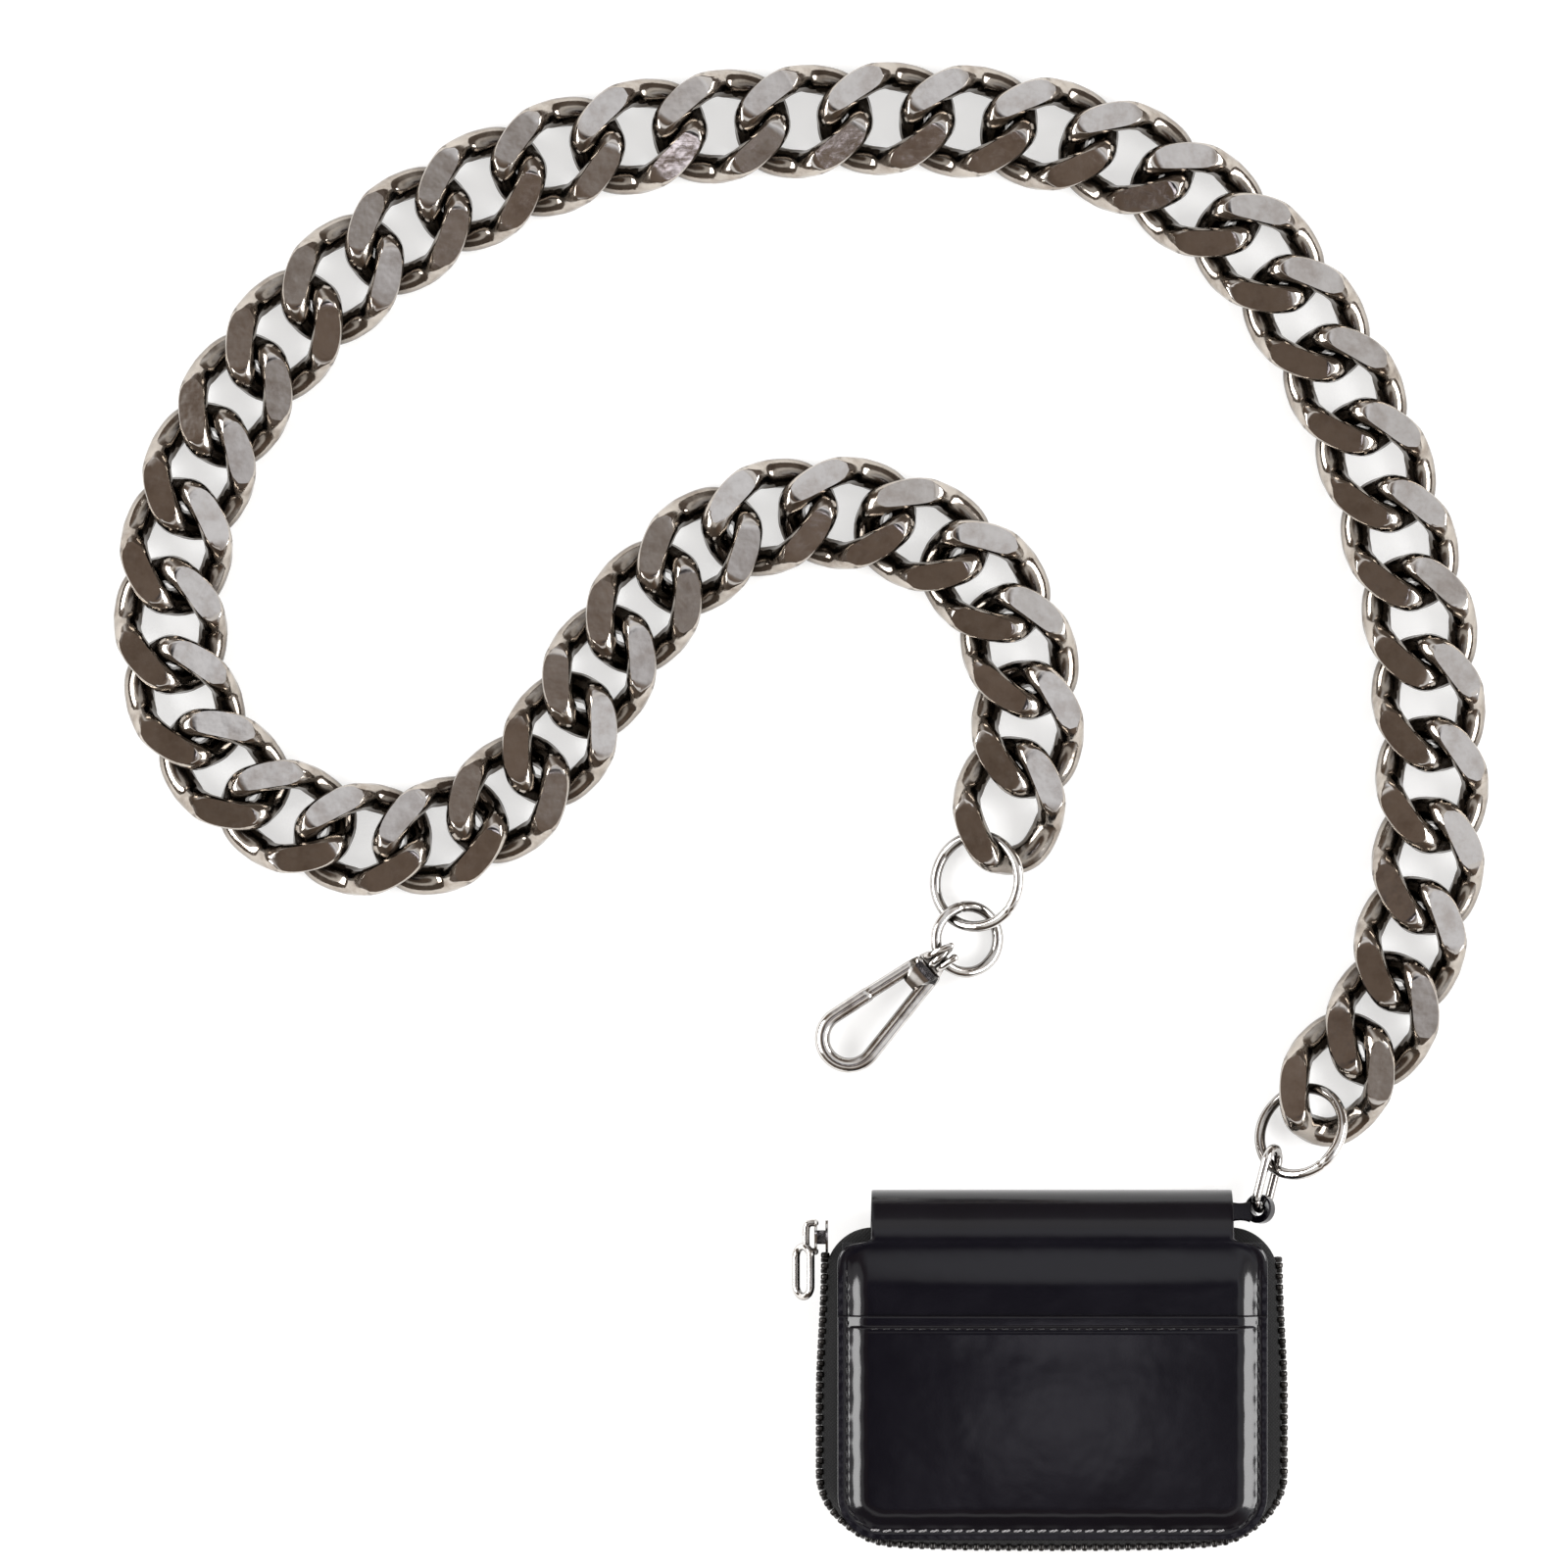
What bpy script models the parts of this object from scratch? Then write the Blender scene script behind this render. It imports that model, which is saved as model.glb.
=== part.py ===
"""Chain wallet: a zip-around leather wallet on a heavy curb chain with a snap hook.

Frame: metres, +Z up.  The wallet lies on its back cover, the origin is the centre
of the back cover's outer face, +Y runs from the zip's bottom edge to the spine and
+X to the wallet's right.  The chain lies on the same surface in one long curve.
"""
import math

import bmesh
import bpy
import numpy as np
from mathutils import Matrix, Vector

MM = 0.001
GAP = 0.3 * MM                      # clearance between touching pieces

# ---- wallet -----------------------------------------------------------------
HALF_WIDTH = 52.5 * MM              # leather panels, centre to side edge
BOTTOM_Y = -41.5 * MM               # leather panels' lower edge
SHOULDER_Y = 31.0 * MM              # where the panels meet the narrower spine
CORNER_R = 11.0 * MM
SHOULDER_R = 5.0 * MM
SPINE_HALF_WIDTH = 44.3 * MM
SPINE_BULGE = 12.4 * MM             # how far the spine stands past the shoulders
THICKNESS = 24.0 * MM               # closed wallet, back face to front pocket
LEATHER = 1.7 * MM
LINING = 0.8 * MM
CARD_LEATHER = 0.7 * MM
POCKET_Y = 13.4 * MM                # mouth of the outer slip pocket

# ---- zip --------------------------------------------------------------------
ZIP_HALF_WIDTH = 56.4 * MM          # centre of the teeth rows, sides
ZIP_BOTTOM_Y = -43.4 * MM           # centre of the teeth rows, bottom
ZIP_TOP_Y = 30.0 * MM
SLIDER_Y = 32.0 * MM                # the slider parks past the top of the teeth
ZIP_MID_Z = 12.0 * MM
TOOTH_GAP = 1.8 * MM                # between the two rows, room for the slider's bridge
TOOTH_ROW = 1.7 * MM                # height of one row
TAPE = 0.6 * MM

# ---- metalwork --------------------------------------------------------------
LINK_COUNT = 46
LINK_A = 13.7 * MM                  # wire centreline, half length
LINK_B = 10.6 * MM                  # wire centreline, half width
LINK_TWIST = 4.0 * MM               # how far the curb twist lifts the wire
LINK_WIRE_W = 3.1 * MM              # wire half width, seen from above
LINK_WIRE_H = 3.0 * MM              # wire half height
LINK_CUT = 5.2 * MM                 # half height at which the flats are cut
CHAIN_Z = LINK_CUT

# How the chain lies on the table, first link to last, in millimetres.
CHAIN_ROUTE = [
    (70, 70.5), (80.8, 84.5), (88, 103.5), (92.5, 123.5), (93.5, 143), (92.7, 162), (90.8, 181),
    (86.2, 200), (80.5, 219), (72, 240), (62, 258), (50, 274), (33, 288), (15, 298),
    (-7, 303.5), (-28, 306), (-49, 306), (-69, 305), (-89.5, 303.5), (-110, 300), (-129, 294),
    (-148, 284.5), (-165, 273.5), (-180.5, 260.5), (-194.5, 245), (-205.5, 227), (-213, 207.5),
    (-216, 188.5), (-214.5, 169.5), (-207.5, 152.5), (-194, 139), (-177, 131), (-159, 129),
    (-142, 133), (-127.5, 145), (-116.5, 160), (-107, 177), (-95, 191.5), (-81, 203.5),
    (-60.5, 210), (-40, 207), (-23.5, 199.5), (-12, 186.5), (-6.5, 170), (-6, 153.5),
    (-10.3, 137.6),
]
# How far apart neighbouring links hang, as (link number, pitch in millimetres).
CHAIN_SLACK = [(1, 18.0), (3, 20.2), (12, 20.1), (22, 20.7), (27, 19.6), (36, 19.4), (46, 19.5)]


# ---- helpers ----------------------------------------------------------------
def clear_scene():
    for obj in list(bpy.data.objects):
        bpy.data.objects.remove(obj, do_unlink=True)


def material(name, colour, roughness, metallic=0.0):
    found = bpy.data.materials.get(name)
    if found:
        return found
    made = bpy.data.materials.new(name)
    made.use_nodes = True
    shader = made.node_tree.nodes["Principled BSDF"]
    shader.inputs["Base Color"].default_value = (*colour, 1.0)
    shader.inputs["Roughness"].default_value = roughness
    shader.inputs["Metallic"].default_value = metallic
    return made


def leather():
    return material("polished_leather", (0.012, 0.012, 0.015), 0.28)


def lining_cloth():
    return material("lining_cloth", (0.02, 0.02, 0.022), 0.85)


def zip_cloth():
    return material("zip_tape", (0.01, 0.01, 0.01), 0.8)


def zip_metal():
    return material("zip_teeth_metal", (0.05, 0.05, 0.05), 0.35, 1.0)


def nickel():
    return material("polished_nickel", (0.72, 0.69, 0.66), 0.16, 1.0)


def steel():
    return material("bright_steel", (0.8, 0.79, 0.78), 0.14, 1.0)


def add_mesh(name, verts, faces, mat, origin=(0, 0, 0), smooth=False):
    """One closed mesh object whose origin sits at the given point."""
    origin = Vector(origin)
    mesh = bpy.data.meshes.new(name)
    mesh.from_pydata([Vector(v) - origin for v in verts], [], faces)
    bm = bmesh.new()
    bm.from_mesh(mesh)
    bmesh.ops.recalc_face_normals(bm, faces=bm.faces)
    bm.to_mesh(mesh)
    bm.free()
    if smooth:
        mesh.shade_smooth()
        mesh.set_sharp_from_angle(angle=math.radians(40))
    mesh.materials.append(mat)
    obj = bpy.data.objects.new(name, mesh)
    obj.location = origin
    bpy.context.collection.objects.link(obj)
    return obj


def boolean(target, other, operation):
    modifier = target.modifiers.new(operation.lower(), "BOOLEAN")
    modifier.operation = operation
    modifier.solver = "EXACT"
    modifier.object = other
    other.hide_render = True
    other.display_type = "WIRE"


def arc(centre, radius, start_deg, end_deg, steps):
    """Points on a circular arc, end points included."""
    points = []
    for k in range(steps + 1):
        angle = math.radians(start_deg + (end_deg - start_deg) * k / steps)
        points.append((centre[0] + radius * math.cos(angle), centre[1] + radius * math.sin(angle)))
    return points


def prism(name, outline, z_low, z_high, mat, origin=(0, 0, 0)):
    """A flat panel: an outline in XY carried from z_low to z_high."""
    count = len(outline)
    verts = [(x, y, z_low) for x, y in outline] + [(x, y, z_high) for x, y in outline]
    faces = [tuple(reversed(range(count))), tuple(range(count, 2 * count))]
    for k in range(count):
        after = (k + 1) % count
        faces.append((k, after, count + after, count + k))
    return add_mesh(name, verts, faces, mat, origin)


def swept(name, rings, mat, closed=False, origin=(0, 0, 0), smooth=False):
    """Skin a row of equal rings; a closed row joins its last ring to its first."""
    sides = len(rings[0])
    verts = [point for ring in rings for point in ring]
    faces = []
    last = len(rings) if closed else len(rings) - 1
    for k in range(last):
        here, there = k * sides, ((k + 1) % len(rings)) * sides
        for m in range(sides):
            n = (m + 1) % sides
            faces.append((here + m, here + n, there + n, there + m))
    if not closed:
        faces.append(tuple(reversed(range(sides))))
        faces.append(tuple(range(len(verts) - sides, len(verts))))
    return add_mesh(name, verts, faces, mat, origin, smooth)


def tube_rings(path, radius, sides, closed):
    """Round rings along a 3-D path, carried with the least twist."""
    points = [Vector(p) for p in path]
    count = len(points)
    rings = []
    side = None
    for k, point in enumerate(points):
        before = points[(k - 1) % count] if closed or k else point
        after = points[(k + 1) % count] if closed or k < count - 1 else point
        tangent = (after - before).normalized()
        if side is None:
            guide = Vector((0, 0, 1)) if abs(tangent.z) < 0.9 else Vector((1, 0, 0))
            side = guide.cross(tangent).normalized()
        side = (side - tangent * side.dot(tangent)).normalized()
        up = tangent.cross(side)
        ring = []
        for m in range(sides):
            angle = 2 * math.pi * (m + 0.5) / sides
            ring.append(point + side * (radius * math.cos(angle)) + up * (radius * math.sin(angle)))
        rings.append(ring)
    return rings


def torus_path(centre, radius, along, across, count=20, stretch=0.0):
    """A ring or, with stretch, a long oval with straight sides along 'along'."""
    centre, along, across = Vector(centre), Vector(along), Vector(across)
    points = []
    for k in range(count):
        angle = 2 * math.pi * (k + 0.5) / count
        shift = stretch if math.cos(angle) > 0 else -stretch
        points.append(centre + along * (radius * math.cos(angle) + shift)
                      + across * (radius * math.sin(angle)))
    return points


# ---- wallet panels ----------------------------------------------------------
def panel_outline(inset=0.0, top=SHOULDER_Y, bottom=BOTTOM_Y, shoulder=True):
    """Rounded panel, counter-clockwise; a shouldered panel steps in to the spine."""
    half = HALF_WIDTH - inset
    low = bottom + inset
    corner = max(CORNER_R - inset, 1.5 * MM)
    points = arc((half - corner, low + corner), corner, -90, 0, 6)
    if shoulder:
        bend = max(SHOULDER_R - inset, 1.0 * MM)
        points += arc((half - bend, top - bend), bend, 0, 90, 4)
        points += arc((-(half - bend), top - bend), bend, 90, 180, 4)
    else:
        points += [(half, top), (-half, top)]
    points += arc((-(half - corner), low + corner), corner, 180, 270, 6)
    return points


def make_panels():
    """Back half on the root body, front half on the opening cover."""
    hinge = (0, SHOULDER_Y + GAP / 2, THICKNESS - LEATHER - GAP / 2)
    prism("back_cover", panel_outline(), 0, LEATHER, leather())
    z = LEATHER + GAP
    prism("back_lining", panel_outline(1.2 * MM), z, z + LINING, lining_cloth())
    z += LINING + GAP
    for number, top in enumerate((-8.0, 3.0, 14.0), start=1):
        slot = panel_outline(7.0 * MM, top=top * MM, bottom=BOTTOM_Y, shoulder=False)
        low = z + (3 - number) * (CARD_LEATHER + GAP)
        prism("back_card_slot_%d" % number, slot, low, low + CARD_LEATHER, leather())
    top_face = THICKNESS
    front_low = top_face - 2 * LEATHER - GAP
    prism("front_cover", panel_outline(), front_low, front_low + LEATHER, leather(), hinge)
    pocket = panel_outline(0.4 * MM, top=POCKET_Y, shoulder=False)
    prism("front_pocket", pocket, top_face - LEATHER, top_face, leather(), hinge)
    z = front_low - GAP
    prism("front_lining", panel_outline(1.2 * MM), z - LINING, z, lining_cloth(), hinge)
    z -= LINING + GAP
    for number, top in enumerate((-2.0, 10.0), start=1):
        slot = panel_outline(7.0 * MM, top=top * MM, bottom=BOTTOM_Y, shoulder=False)
        high = z - (2 - number) * (CARD_LEATHER + GAP)
        prism("front_card_slot_%d" % number, slot, high - CARD_LEATHER, high, leather(), hinge)
    return hinge


def make_coin_pocket():
    """Two divider walls in the middle of the wallet, open towards the zip."""
    low, high = 10.0 * MM, 15.9 * MM
    for name, z in (("coin_divider_back", low), ("coin_divider_front", high - LINING)):
        wall = panel_outline(6.0 * MM, top=SHOULDER_Y - 3.0 * MM, bottom=BOTTOM_Y + 2 * MM)
        prism(name, wall, z, z + LINING, lining_cloth())
    for name, side in (("gusset_left", -1), ("gusset_right", 1)):
        make_gusset(name, side, low + LINING + GAP, high - LINING - GAP)


def make_gusset(name, side, low, high):
    """A V-folded strip that closes the coin pocket's side."""
    outer, inner = 45.4 * MM, 41.0 * MM
    y_low, y_high = BOTTOM_Y + 16 * MM, SHOULDER_Y - 8 * MM
    mid = (low + high) / 2
    half = 0.5 * MM
    profile = [(outer, low), (inner, mid - half), (inner, mid + half), (outer, high),
               (outer - 1.2 * MM, high), (inner - 1.2 * MM, mid + half),
               (inner - 1.2 * MM, mid - half), (outer - 1.2 * MM, low)]
    rings = [[(side * x, y, z) for x, z in profile] for y in (y_low, y_high)]
    swept(name, rings, lining_cloth())


def make_spine():
    """The leather that wraps the top edge, half an ellipse from back to front."""
    steps = 12
    mid = (THICKNESS - LEATHER) / 2
    rings = []
    for x in (-SPINE_HALF_WIDTH, SPINE_HALF_WIDTH):
        outer, inner = [], []
        for k in range(steps + 1):
            angle = math.radians(-90 + 180 * k / steps)
            y = SHOULDER_Y + GAP
            outer.append((x, y + SPINE_BULGE * math.cos(angle), mid + mid * math.sin(angle)))
            inner.append((x, y + (SPINE_BULGE - LEATHER) * math.cos(angle),
                          mid + (mid - LEATHER) * math.sin(angle)))
        rings.append(outer + inner[::-1])
    swept("spine", rings, leather())


# ---- zip --------------------------------------------------------------------
def u_outline(half, low, corner, top):
    """Open U from the left shoulder round the bottom to the right shoulder."""
    points = [(-half, top), (-half, (top + low) / 2)]
    points += arc((-(half - corner), low + corner), corner, 180, 270, 7)
    points += arc((half - corner, low + corner), corner, -90, 0, 7)
    points += [(half, (top + low) / 2), (half, top)]
    return points


def band(name, outer_path, outer_z, inner_path, inner_z, thickness, mat, origin=(0, 0, 0)):
    """A strip between two U paths at two heights."""
    rings = []
    for (ox, oy), (ix, iy) in zip(outer_path, inner_path):
        inward = Vector((0 - ox, 0 - oy, 0)).normalized() * thickness
        rings.append([(ox, oy, outer_z), (ix, iy, inner_z),
                      (ix + inward.x, iy + inward.y, inner_z),
                      (ox + inward.x, oy + inward.y, outer_z)])
    swept(name, rings, mat, origin=origin)


def make_zip(hinge):
    """Tape and teeth row of each half; the rows face each other at mid height."""
    half_gap = TOOTH_GAP / 2
    row = u_outline(ZIP_HALF_WIDTH + 0.7 * MM, ZIP_BOTTOM_Y - 0.7 * MM, 14 * MM, ZIP_TOP_Y)
    row_in = u_outline(ZIP_HALF_WIDTH - 0.7 * MM, ZIP_BOTTOM_Y + 0.7 * MM, 12.6 * MM, ZIP_TOP_Y)
    edge = u_outline(HALF_WIDTH - 1.6 * MM, BOTTOM_Y + 1.6 * MM, 9.4 * MM, ZIP_TOP_Y)
    seam = u_outline(ZIP_HALF_WIDTH - 0.2 * MM, ZIP_BOTTOM_Y + 0.2 * MM, 13 * MM, ZIP_TOP_Y)
    lining_low = LEATHER + 2 * GAP + LINING
    lining_high = THICKNESS - 2 * LEATHER - 3 * GAP - LINING
    for side, name, start in ((-1, "back", lining_low), (1, "front", lining_high)):
        origin = (0, 0, 0) if side < 0 else hinge
        near = ZIP_MID_Z + side * half_gap
        far = near + side * TOOTH_ROW
        teeth_rings = []
        for (ox, oy), (ix, iy) in zip(row, row_in):
            teeth_rings.append([(ox, oy, near), (ox, oy, far), (ix, iy, far), (ix, iy, near)])
        swept("zip_teeth_" + name, teeth_rings, zip_metal(), origin=origin)
        band("zip_tape_" + name, seam, far + side * GAP, edge, start, TAPE, zip_cloth(), origin)


def make_slider():
    """Two cheeks either side of the teeth, their bridge between the rows, and a bail."""
    x, y = -ZIP_HALF_WIDTH, SLIDER_Y
    half_length, height, cheek = 4.2 * MM, 7.0 * MM, 0.7 * MM
    reach = 0.7 * MM + GAP
    bridge, inner_cut = 0.9 * MM, 2.2 * MM
    outer, inner = x - reach - cheek, x + reach + cheek
    low, high = ZIP_MID_Z - height / 2, ZIP_MID_Z + height / 2
    b_low, b_high = ZIP_MID_Z - bridge / 2, ZIP_MID_Z + bridge / 2
    profile = [(outer, low), (outer + cheek, low), (outer + cheek, b_low),
               (inner - cheek, b_low), (inner - cheek, low + inner_cut), (inner, low + inner_cut),
               (inner, high - inner_cut), (inner - cheek, high - inner_cut),
               (inner - cheek, b_high), (outer + cheek, b_high), (outer + cheek, high),
               (outer, high)]
    rings = [[(px, y + dy, pz) for px, pz in profile] for dy in (-half_length, half_length)]
    slider = swept("zip_slider", rings, steel(), origin=(x, y, ZIP_MID_Z))
    stand, foot, knee, wire = 2.9 * MM, 3.6 * MM, 3.0 * MM, 0.5 * MM
    bail_path = [(outer + 0.4 * MM, y + foot, ZIP_MID_Z), (outer - 0.7 * stand, y + foot, ZIP_MID_Z),
                 (outer - stand, y + knee, ZIP_MID_Z), (outer - stand, y - knee, ZIP_MID_Z),
                 (outer - 0.7 * stand, y - foot, ZIP_MID_Z), (outer + 0.4 * MM, y - foot, ZIP_MID_Z)]
    bail = swept("zip_slider_bail", tube_rings(bail_path, wire, 6, False), steel())
    boolean(slider, bail, "UNION")
    return Vector((outer - 0.5 * stand, y - foot, ZIP_MID_Z))


def make_pull(pivot):
    """An oval wire pull that hangs from the bail along the wallet's side."""
    radius, stretch, wire = 2.6 * MM, 3.6 * MM, 0.55 * MM
    centre = pivot + Vector((0, 1.4 * MM - radius - stretch, 0))
    path = torus_path(centre, radius, (0, 1, 0), (0, 0, 1), 16, stretch)
    swept("zip_pull", tube_rings(path, wire, 6, True), steel(), True, pivot)


# ---- chain ------------------------------------------------------------------
def smooth_route():
    """A dense Catmull-Rom curve through the hand-set route."""
    points = np.array(CHAIN_ROUTE, dtype=float) * MM
    points = np.vstack([2 * points[0] - points[1], points, 2 * points[-1] - points[-2]])
    t = np.linspace(0.0, 1.0, 60, endpoint=False)[:, None]
    dense = []
    for p0, p1, p2, p3 in zip(points, points[1:], points[2:], points[3:]):
        dense.append(0.5 * (2 * p1 + (p2 - p0) * t + (2 * p0 - 5 * p1 + 4 * p2 - p3) * t ** 2
                            + (3 * p1 - p0 - 3 * p2 + p3) * t ** 3))
    return np.vstack(dense + [points[-2:-1]])


def link_places():
    """Centre and heading of every link, spread along the route by its slack."""
    dense = smooth_route()
    steps = np.linalg.norm(np.diff(dense, axis=0), axis=1)
    travelled = np.concatenate([[0.0], np.cumsum(steps)])
    numbers, pitches = zip(*CHAIN_SLACK)
    pitch = np.interp(np.arange(1, LINK_COUNT) + 0.5, numbers, pitches)
    reach = np.concatenate([[0.0], np.cumsum(pitch)])
    reach *= travelled[-1] / reach[-1]
    centres = np.stack([np.interp(reach, travelled, dense[:, axis]) for axis in (0, 1)], axis=1)
    places = []
    for k, centre in enumerate(centres):
        step = centres[min(k + 1, LINK_COUNT - 1)] - centres[max(k - 1, 0)]
        places.append((Vector((*centre, CHAIN_Z)), math.atan2(step[1], step[0])))
    return places


def link_rings(place, segments=16, sides=6):
    """One curb link: an oval of wire, twisted flat, its high sides cut level."""
    centre, heading = place
    turn = Matrix.Rotation(heading, 3, "Z")
    rings = []
    for k in range(segments):
        angle = 2 * math.pi * k / segments
        point = Vector((LINK_A * math.cos(angle), LINK_B * math.sin(angle),
                        -LINK_TWIST * math.sin(2 * angle)))
        tangent = Vector((-LINK_A * math.sin(angle), LINK_B * math.cos(angle),
                          -2 * LINK_TWIST * math.cos(2 * angle))).normalized()
        side = Vector((0, 0, 1)).cross(tangent).normalized()
        up = tangent.cross(side)
        ring = []
        for m in range(sides):
            turn_m = 2 * math.pi * (m + 0.5) / sides
            p = point + side * (LINK_WIRE_W * math.cos(turn_m)) + up * (LINK_WIRE_H * math.sin(turn_m))
            p.z = max(-LINK_CUT, min(LINK_CUT, p.z))
            ring.append(centre + turn @ p)
        rings.append(ring)
    return rings


def make_chain():
    """Links in rigid pairs, each pair's origin on the crossing it turns about."""
    places = link_places()
    for first in range(0, LINK_COUNT, 2):
        pivot = chain_pivot(places, first)
        name = "chain_pair_%02d" % (first // 2 + 1)
        link = swept(name, link_rings(places[first]), nickel(), True, pivot, True)
        partner = swept(name + "_second", link_rings(places[first + 1]), nickel(), True, pivot)
        boolean(link, partner, "UNION")
        middle = (places[first][0] + places[first + 1][0]) / 2
        step = places[first + 1][0] - places[first][0]
        weld = weld_block(name + "_weld", middle, math.atan2(step.y, step.x))
        boolean(link, weld, "UNION")
    return places


def weld_block(name, centre, heading):
    """The bridge of metal that makes two crossing links one rigid pair."""
    half_u, half_v, half_w = 3.0 * MM, 1.2 * MM, 1.2 * MM
    turn = Matrix.Rotation(heading, 3, "Z")
    rings = []
    for u in (-half_u, half_u):
        corners = ((-half_v, -half_w), (half_v, -half_w), (half_v, half_w), (-half_v, half_w))
        rings.append([centre + turn @ Vector((u, v, w)) for v, w in corners])
    return swept(name, rings, nickel())


def chain_pivot(places, index):
    """Where link 'index' hooks into the one before it, or into the wallet's ring."""
    if index == 0:
        heading = places[0][1]
        return places[0][0] - Vector((math.cos(heading), math.sin(heading), 0)) * (LINK_A - 3.6 * MM)
    return (places[index - 1][0] + places[index][0]) / 2


# ---- rings and links at the two ends ----------------------------------------
def tilted(direction, tilt_deg):
    """Unit vectors along a heading and across it, the second tilted out of level."""
    along = Vector(direction).normalized()
    level = Vector((-along.y, along.x, 0))
    tilt = math.radians(tilt_deg)
    return along, level * math.cos(tilt) + Vector((0, 0, math.sin(tilt)))


def round_ring(name, centre, radius, wire, along, across, origin, stretch=0.0, count=20):
    path = torus_path(centre, radius, along, across, count, stretch)
    return swept(name, tube_rings(path, wire, 6, True), steel(), True, origin, True)


OVAL_CENTRE = Vector((52.9, 46.2, 8.6)) * MM
OVAL_TILT = 62
OVAL_END_R = 3.4 * MM
OVAL_STRETCH = 4.2 * MM
OVAL_DIRECTION = (0.25, 1.0, 0.0)
WALLET_RING_CENTRE = Vector((61.2, 57.8, 8.6)) * MM
END_RING_CENTRE = Vector((-18.2, 119.1, 6.0)) * MM
SMALL_RING_CENTRE = Vector((-20.6, 104.8, 4.3)) * MM


def make_link_loop():
    """The folded leather tab at the spine's right end that the chain hangs from."""
    inner, outer, half_width = 1.8 * MM, 3.6 * MM, 1.6 * MM
    along, across = tilted(OVAL_DIRECTION, OVAL_TILT)
    normal = along.cross(across)
    centre = OVAL_CENTRE - along * (OVAL_END_R + OVAL_STRETCH)
    rings = []
    for k in range(14):
        angle = 2 * math.pi * k / 14
        out = along * math.cos(angle) + normal * math.sin(angle)
        ring = []
        for radius, side in ((inner, -1), (outer, -1), (outer, 1), (inner, 1)):
            ring.append(centre + out * radius + across * (side * half_width))
        rings.append(ring)
    loop = swept("link_loop", rings, leather(), True)
    root_x, tip_x = SPINE_HALF_WIDTH + GAP, centre.x - 2.2 * MM
    tail = prism("link_loop_tail", [(root_x, centre.y - 3.0 * MM), (tip_x, centre.y - 3.0 * MM),
                                    (tip_x, centre.y + 1.6 * MM), (root_x, centre.y + 1.6 * MM)],
                 centre.z - half_width, centre.z + half_width, leather())
    boolean(loop, tail, "UNION")
    return centre


def make_end_rings(places):
    loop_centre = make_link_loop()
    along, across = tilted(OVAL_DIRECTION, OVAL_TILT)
    round_ring("oval_link", OVAL_CENTRE, OVAL_END_R, 1.1 * MM, along, across, loop_centre, OVAL_STRETCH)
    heading = places[0][1]
    along, across = tilted((math.cos(heading), math.sin(heading), 0), -36)
    ring_pivot = OVAL_CENTRE + Vector(OVAL_DIRECTION).normalized() * OVAL_STRETCH
    round_ring("wallet_ring", WALLET_RING_CENTRE, 11.2 * MM, 1.2 * MM, along, across, ring_pivot)
    heading = places[-1][1]
    along, across = tilted((math.cos(heading), math.sin(heading), 0), 26)
    pivot = places[-1][0] + Vector((math.cos(heading), math.sin(heading), 0)) * (LINK_A - 3.6 * MM)
    round_ring("end_ring", END_RING_CENTRE, 11.2 * MM, 1.2 * MM, along, across, pivot)
    direction = SMALL_RING_CENTRE - END_RING_CENTRE
    along, across = tilted((direction.x, direction.y, 0), -20)
    pivot = END_RING_CENTRE + (SMALL_RING_CENTRE - END_RING_CENTRE).normalized() * 8 * MM
    round_ring("small_ring", SMALL_RING_CENTRE, 8.1 * MM, 1.3 * MM, along, across, pivot)


# ---- snap hook --------------------------------------------------------------
HOOK_HEADING = math.radians(222)    # from the neck towards the bulb
HOOK_NECK = Vector((-29.6, 98.4, 4.2)) * MM
HOOK_WIRE = 1.45 * MM
BULB_X = 26.8 * MM                  # bulb centre, ahead of the neck
BULB_R = 6.6 * MM
LEG_Y = 2.5 * MM                    # legs' half spacing at the neck
SEAM_X = 16.0 * MM                  # where the gate's tip meets the nose


def hook_point(x, y, z=0.0):
    """From the hook's own axes (x along it, y to its left) to the world."""
    return HOOK_NECK + Matrix.Rotation(HOOK_HEADING, 3, "Z") @ Vector((x, y, z))


def hook_wire(name, points, origin, radius=HOOK_WIRE):
    path = [hook_point(x, y) for x, y in points]
    return swept(name, tube_rings(path, radius, 8, False), steel(), False, origin, True)


def hook_block(name, corners, half_height, origin):
    outline = [hook_point(x, y) for x, y in corners]
    z = HOOK_NECK.z
    return prism(name, [(p.x, p.y) for p in outline], z - half_height, z + half_height, steel(), origin)


def hook_pin(name, radius, half_height, pivot, origin):
    outline = arc((pivot.x, pivot.y), radius, 0, 330, 11)
    return prism(name, outline, pivot.z - half_height, pivot.z + half_height, steel(), origin)


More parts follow.
